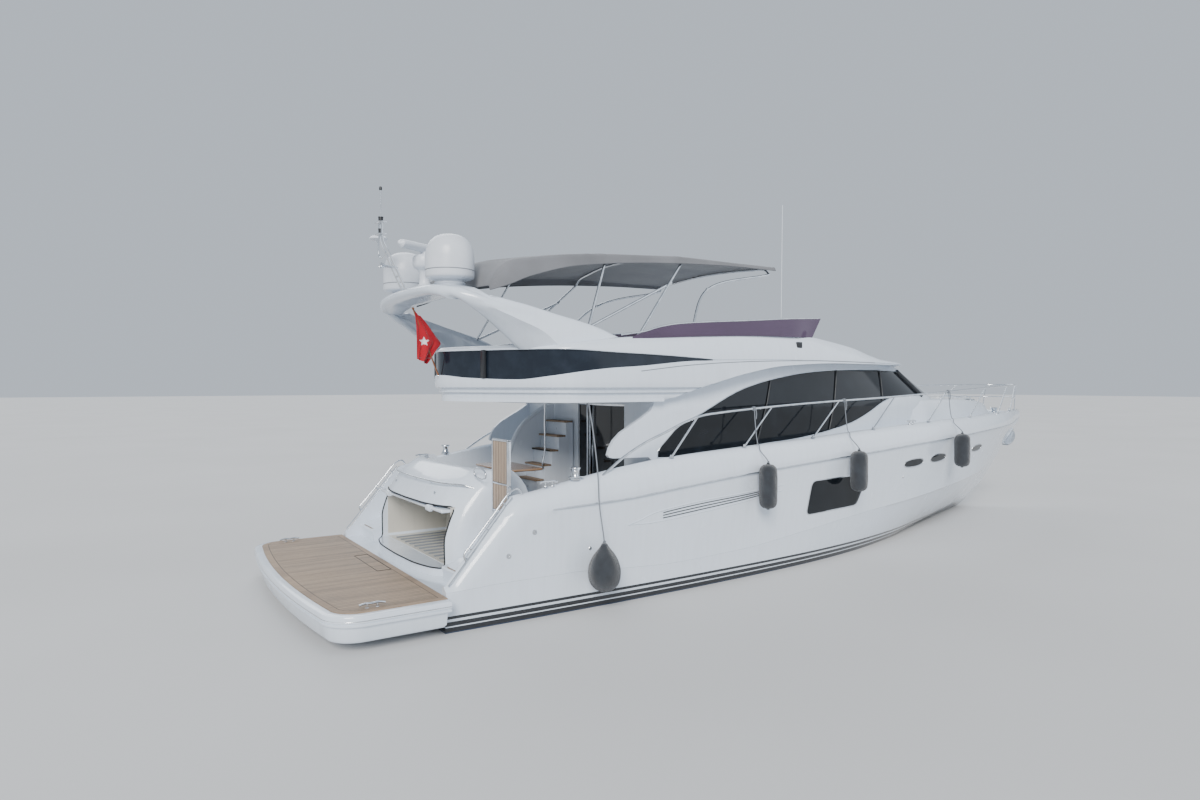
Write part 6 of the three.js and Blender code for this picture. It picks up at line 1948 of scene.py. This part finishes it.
def make_fenders():
    for i, (x, z, r, length) in enumerate(FENDERS):
        y = -(hull(x, KNUCKLE_Y) + r + 0.012)
        half = length / 2
        profile = [(0, -half - 0.012), (0.022, -half - 0.012), (0.028, -half + 0.002),
            (r * 0.55, -half + 0.012), (r * 0.8, -half + 0.038), (r * 0.94, -half + 0.075),
            (r - 0.002, -half + 0.13), (r, -half * 0.3), (r, half * 0.3), (r - 0.002, half - 0.13),
            (r * 0.94, half - 0.075), (r * 0.8, half - 0.038), (r * 0.55, half - 0.012),
            (0.028, half - 0.002), (0.022, half + 0.02), (0, half + 0.022)]
        dense = []
        for a, b in zip(profile, profile[1:]):
            steps = max(1, int(dist(a, b) / 0.03))
            dense += [(a[0] + (b[0] - a[0]) * k / steps, a[1] + (b[1] - a[1]) * k / steps)
                for k in range(steps)]
        dense.append(profile[-1])
        body = turned(f"fender_{i + 1}_cover", dense, (x, y, z), steps=56)
        for v in body.data.vertices:
            a = atan2(v.co.y - y, v.co.x - x)
            wave = 0.0022 * sin(7 * a + 3 * v.co.z * 9 + i) * sin(11 * (v.co.z - z))
            out = Vector((v.co.x - x, v.co.y - y, 0))
            if out.length > 0.03:
                v.co -= out.normalized() * (0.002 + wave)
        finished(body, KNIT, replaces=f"fender_{i + 1}", angle=60)
        gunwale, top = hull(x, GUNWALE_Y), hull(x, GUNWALE_Z)
        rail_y, rail_z = gunwale - at(RAIL, x), at(RAIL, x, 2)
        line = [(x, y, z + half + 0.015), (x, y + 0.01, z + half + 0.05),
            (x, -(gunwale + 0.014), top - 0.06), (x, -(gunwale + 0.002), top + 0.004),
            (x, -(gunwale - 0.03), top + 0.03), (x, -rail_y - 0.018, rail_z - 0.03),
            (x, -rail_y - 0.024, rail_z + 0.012)]
        ties = [tube("line", line, 0.0075, sides=8)]
        for k in range(3):
            loop = [(x - 0.016 + 0.016 * k, -rail_y + 0.026 * cos(a), rail_z + 0.026 * sin(a))
                for a in around(16)]
            ties.append(rod("turn", loop, 0.0075, closed=True, sides=8))
        tail = [(x + 0.02, -rail_y - 0.025, rail_z - 0.005), (x + 0.03, -rail_y - 0.03, rail_z - 0.08),
            (x + 0.026, -rail_y - 0.028, rail_z - 0.16)]
        ties.append(tube("tail", tail, 0.0075, sides=8))
        ring = [(x + 0.016 * cos(a), y, z + half + 0.03 + 0.016 * sin(a)) for a in around(14)]
        ties.append(rod("eye", ring, 0.006, closed=True))
        assembled(f"fender_{i + 1}_line", ties, ROPE)
    x, y, z = -5.69, -2.575, 0.59
    profile = [(0, -0.298), (0.05, -0.296), (0.095, -0.285), (0.15, -0.25), (0.19, -0.2), (0.213, -0.14),
        (0.223, -0.07), (0.221, 0.0), (0.21, 0.055), (0.185, 0.12), (0.15, 0.18), (0.11, 0.23),
        (0.075, 0.27), (0.052, 0.3), (0.04, 0.325), (0.028, 0.334), (0, 0.335)]
    body = turned("teardrop_fender_cover", profile, (x, y, z), steps=64)
    apply_modifier(body, "SUBSURF", levels=1, render_levels=1)
    for v in body.data.vertices:
        a = atan2(v.co.y - y, v.co.x - x)
        out = Vector((v.co.x - x, v.co.y - y, 0))
        if out.length > 0.05:
            v.co -= out.normalized() * (0.003 + 0.003 * sin(4 * a + 6 * v.co.z))
    finished(body, KNIT, replaces="fender_teardrop", angle=60)
    line = [(x, y, z + 0.32), (x, y + 0.012, z + 0.4), (x + 0.01, -2.44, 1.42), (x + 0.02, -2.39, 1.8),
        (x + 0.07, -2.2, 2.35), (x + 0.1, -2.022, 2.79)]
    tie = [tube("line", line, 0.009, sides=8)]
    ring = [(x + 0.02 * cos(a), y, z + 0.345 + 0.02 * sin(a)) for a in around(14)]
    tie.append(rod("eye", ring, 0.007, closed=True))
    tie.append(turned("pad_eye", [(0, -0.004), (0.026, -0.004), (0.026, 0.004), (0.014, 0.01), (0, 0.011)],
        (x + 0.1, -2.018, 2.79), heading=(0, -1, 0.1), steps=20))
    assembled("teardrop_fender_line", tie, ROPE)


make_fenders()


# Ensign and its staff

STAR = (-7.175, 3.63, 0.072)


def make_ensign():
    foot, head = Vector((-6.92, 0, 3.065)), Vector((-7.34, 0, 4.13))
    run = (head - foot).normalized()
    staff = [rod("pole", [foot - run * 0.02, foot + (head - foot) * 0.5, head - run * 0.04], 0.0125,
        sides=10), turned("cap", [(0, -0.02), (0.016, -0.02), (0.02, -0.005), (0.017, 0.01), (0.008, 0.018),
        (0, 0.019)], head - run * 0.02, heading=run, steps=24)]
    assembled("ensign_pole", staff, STAFF_WOOD, replaces="ensign_staff")
    socket = turned("ensign_socket", [(0, -0.03), (0.024, -0.03), (0.024, 0.07), (0.02, 0.078), (0, 0.079)],
        foot, heading=run, steps=24)
    finished(socket, STEEL)
    hoist = [(-7.31, 4.085), (-7.302, 3.96), (-7.29, 3.84), (-7.287, 3.6), (-7.283, 3.375)]
    fly = [(-7.225, 4.0), (-7.1, 3.86), (-7.005, 3.735), (-6.915, 3.605), (-6.965, 3.53), (-7.005, 3.47),
        (-7.06, 3.38), (-7.12, 3.3)]
    hoist, fly = smooth(hoist, 80), smooth(fly, 80)
    rows = []
    for i in range(80):
        a, b = hoist[i], fly[i]
        row = []
        v = i / 79
        for k in range(60):
            u = k / 59
            x, z = a.x + (b.x - a.x) * u, a.y + (b.y - a.y) * u - 0.02 * sin(pi * u) * (1 - v)
            swing = 0.05 * u * sin(5.2 * u + 2.1 * v + 0.6) + 0.028 * sin(13 * u - 2.2 * v) * min(1, 3 * u)
            swing += 0.006 * sin(31 * u + 7 * v)
            row.append((x, -0.02 + swing * (0.35 + 0.65 * v), z))
        rows.append(row)
    flag = laid("ensign_cloth", rows)
    thicken(flag, 0.0012, offset=0)
    mark = flag.data.attributes.new("mark", "FLOAT", "POINT")
    cx, cz, size = STAR
    for v, value in zip(flag.data.vertices, mark.data):
        a = atan2(v.co.z - cz, v.co.x - cx) - pi / 2
        r = hypot(v.co.z - cz, v.co.x - cx)
        sector = (a % (2 * pi / 5)) - pi / 5
        edge = size * 0.42 / max(0.2, cos(pi / 5 - abs(sector)))
        point = size * (0.42 + 0.58 * max(0.0, 1 - abs(abs(sector) - pi / 5) / (pi / 5)) ** 2.2)
        value.value = 1.0 if r < min(size, max(edge, point)) else 0.0
    finished(flag, FLAG, replaces="ensign", angle=70)
    knots = []
    for z in (4.085, 3.39):
        x = at([(3.37, -7.283), (3.84, -7.29), (4.09, -7.31)], z)
        t = (z - foot.z) / (head.z - foot.z)
        pole = foot + (head - foot) * t
        knots.append(rod("lashing", [(pole.x, -0.012, pole.z), (x, -0.02, z)], 0.003))
    assembled("ensign_lashings", knots, ROPE, slot="flag_cloth")


make_ensign()


# Small fittings on the hull

def on_side(x, z, sign, proud=0.0):
    """A point on the hull's side, from its place in side view."""
    return (x, sign * (hull_side(x, z) + proud), z)


def patch(name, outline, sign):
    """A panel that lies on the hull's side: an outline in side view, laid on the skin and thickened."""
    centre = Vector((sum(p[0] for p in outline) / len(outline), sum(p[1] for p in outline) / len(outline)))
    rows = []
    for t in (1.0, 0.985, 0.9, 0.75, 0.55, 0.3, 0.12, 0.0):
        edge = 0.0 if t < 0.99 else -0.004
        rows.append([on_side(centre.x + (x - centre.x) * t, centre.y + (z - centre.y) * t, sign, edge)
            for x, z in [*outline, outline[0]]])
    piece = same_way(laid(name, rows), 1e-5)
    return apply_modifier(piece, "SOLIDIFY", thickness=0.01, offset=0)


def oval(x, z, half, low, tilt):
    out = []
    for a in around(40):
        u = half * copysign(abs(cos(a)) ** 0.8, cos(a))
        w = low * copysign(abs(sin(a)) ** 0.8, sin(a))
        out.append((x + u * cos(tilt) - w * sin(tilt), z + u * sin(tilt) + w * cos(tilt)))
    return out


def make_hull_details():
    drain = [(0, -0.002), (0.03, -0.002), (0.034, 0.004), (0.03, 0.01), (0.016, 0.011), (0.014, 0.004),
        (0, 0.004)]
    outlet = [(0, -0.002), (0.024, -0.002), (0.026, 0.004), (0.02, 0.01), (0.012, 0.01), (0.01, 0.004),
        (0, 0.004)]
    panes, rings, holes = [], [], []
    window = round_corners([(-1.46, 1.42), (-1.53, 0.86), (-0.19, 0.9), (0.03, 1.45)], 0.1, 8)
    for sign in (-1, 1):
        panes.append(patch("window", window, sign))
        rings.append(rod("edge", [on_side(x, z, sign, 0.001) for x, z in window], 0.009, closed=True))
        for x, z, half, low, tilt in ((1.41, 1.55, 0.32, 0.075, 0.03), (2.31, 1.59, 0.31, 0.075, 0.03),
                (4.2, 1.67, 0.3, 0.07, 0.03)):
            outline = oval(x, z, half, low, tilt)
            panes.append(patch("porthole", outline, sign))
            rings.append(rod("edge", [on_side(a, b, sign, 0.002) for a, b in outline], 0.01, closed=True))
        for x, z, profile in ((-6.6, 1.13, drain), (-6.95, 0.86, drain), (-5.75, 0.82, outlet),
                (1.15, 1.3, outlet)):
            holes.append(turned("outlet", profile, on_side(x, z, sign, -0.002), heading=(0, sign, 0),
                steps=24))
    assembled("hull_windows", panes, GLASS, angle=30)
    assembled("hull_window_frames", rings, STEEL)
    assembled("hull_outlets", holes, STEEL)
    vents, slots = [], []
    upper = [(-5.15, 1.075), (-4.93, 1.13), (-4.76, 1.19), (-4.5, 1.235), (-3.87, 1.3), (-2.9, 1.355),
        (-2.15, 1.41)]
    lower = [(-2.15, 1.325), (-2.9, 1.225), (-3.8, 1.135), (-4.4, 1.085), (-4.8, 1.065)]
    outline = smooth(upper, 40) + smooth(lower, 30)
    for sign in (-1, 1):
        vents.append(rod("edge", [on_side(x, z, sign, 0.001) for x, z in outline], 0.008, closed=True))
        for k in range(3):
            t = (k + 1) / 4
            line = []
            for i in range(25):
                x = -4.55 + 2.2 * i / 24
                z0 = at(lower, x)
                z1 = at([(-5.15, 1.075), (-4.5, 1.235), (-3.87, 1.3), (-2.9, 1.355), (-2.15, 1.41)], x)
                line.append(on_side(x, z0 + (z1 - z0) * t, sign, 0.0005))
            slots.append(rod("slot", line, 0.007))
    assembled("vent_louvres", slots, BLACK)
    assembled("vent_surrounds", vents, GELCOAT)
    strips = []
    for sign in (-1, 1):
        line = []
        for i in range(140):
            x = -6.35 + (9.22 + 6.35) * i / 139
            line.append((x, sign * (hull(x, KNUCKLE_Y) + 0.001), hull(x, KNUCKLE_Z) + 0.02))
        strips.append(rod("strip", line, 0.009))
    assembled("rubbing_strakes", strips, STEEL)


make_hull_details()


# Teak laid on the platform and in the cockpit

def banded(name, plan, profile):
    """A closed band that follows a plan: rows of distance and height round its section."""
    return ringed(name, [[(p[0], p[1], z) for p in drawn_in(plan, d)] for d, z in profile + profile[:1]],
        capped=False)


def laid_deck(name, plan, low, high, node_name, margin=0.085):
    field = stacked(name + "_field", drawn_in(plan, margin + 0.006), [(0.0, low), (0.0, high - 0.002),
        (0.002, high)])
    finished(field, DECK_TEAK, replaces=node_name, angle=30)
    border = banded(name + "_margin", plan, [(0.0, low), (0.0, high - 0.002), (0.002, high),
        (margin - 0.002, high), (margin, high - 0.002), (margin, low)])
    finished(border, MARGIN_TEAK, angle=30)
    bed = banded(name + "_caulking", plan, [(margin * 0.5, low), (margin * 0.5, high - 0.0015),
        (margin + 0.02, high - 0.0015), (margin + 0.02, low)])
    finished(bed, RUBBER)


def make_decks():
    laid_deck("platform_teak", rounded_plan(-9.19, -7.76, 2.325, 0.31, 0.13), 0.4503, 0.462, "platform_teak")
    plan = [(-6.175, -2.075), (-4.445, -2.075), (-4.445, 0.265), (-5.355, 0.265), (-5.355, 0.995),
        (-4.445, 0.995), (-4.445, 2.075), (-6.175, 2.075)]
    laid_deck("cockpit_teak", plan, 1.0003, 1.012, "cockpit_teak")


make_decks()


# Running gear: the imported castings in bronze

for name in ("propeller_starboard", "propeller_port", "shaft_bracket_starboard", "shaft_bracket_port",
        "rudder_starboard", "rudder_port"):
    casting = next(o for o in bpy.data.objects if o.name == name or o.name.startswith(name))
    for place in casting.material_slots:
        place.material = BRONZE


# Studio: pale floor at the waterline, soft lights

def set_studio():
    drop_selection()
    bpy.ops.mesh.primitive_plane_add(size=400, location=(0, 0, 0))
    floor = bpy.context.object
    floor.name = "studio_floor"
    look = finish("studio_floor", (0.6, 0.61, 0.62), 0.85)
    drive(look, ramp(look, noise(look, places(look), 0.2, 2), [(0.3, grey(0.58)), (0.7, grey(0.61))]))
    floor.data.materials.append(look)
    world = bpy.data.worlds.new("soft_sky")
    scene.world = world
    world.use_nodes = True
    sky = world.node_tree.nodes["Background"]
    sky.inputs["Color"].default_value = (0.74, 0.82, 0.92, 1)
    sky.inputs["Strength"].default_value = 0.78
    for name, place, strength, spread, tint in (
        ("key", (-20, -24, 20), 3.6, 0.45, (1.0, 0.97, 0.93)),
        ("fill", (24, -24, 14), 0.47, 0.9, (0.86, 0.92, 1.0)),
        ("back", (6, 30, 24), 0.88, 0.7, (0.92, 0.96, 1.0)),
    ):
        bpy.ops.object.light_add(type="SUN", location=place)
        light = bpy.context.object
        light.name = name
        light.data.energy = strength
        light.data.angle = spread
        light.data.color = tint
        light.rotation_euler = (Vector((0, 0, 1.5)) - Vector(place)).to_track_quat("-Z", "Y").to_euler()
    drop_selection()


set_studio()
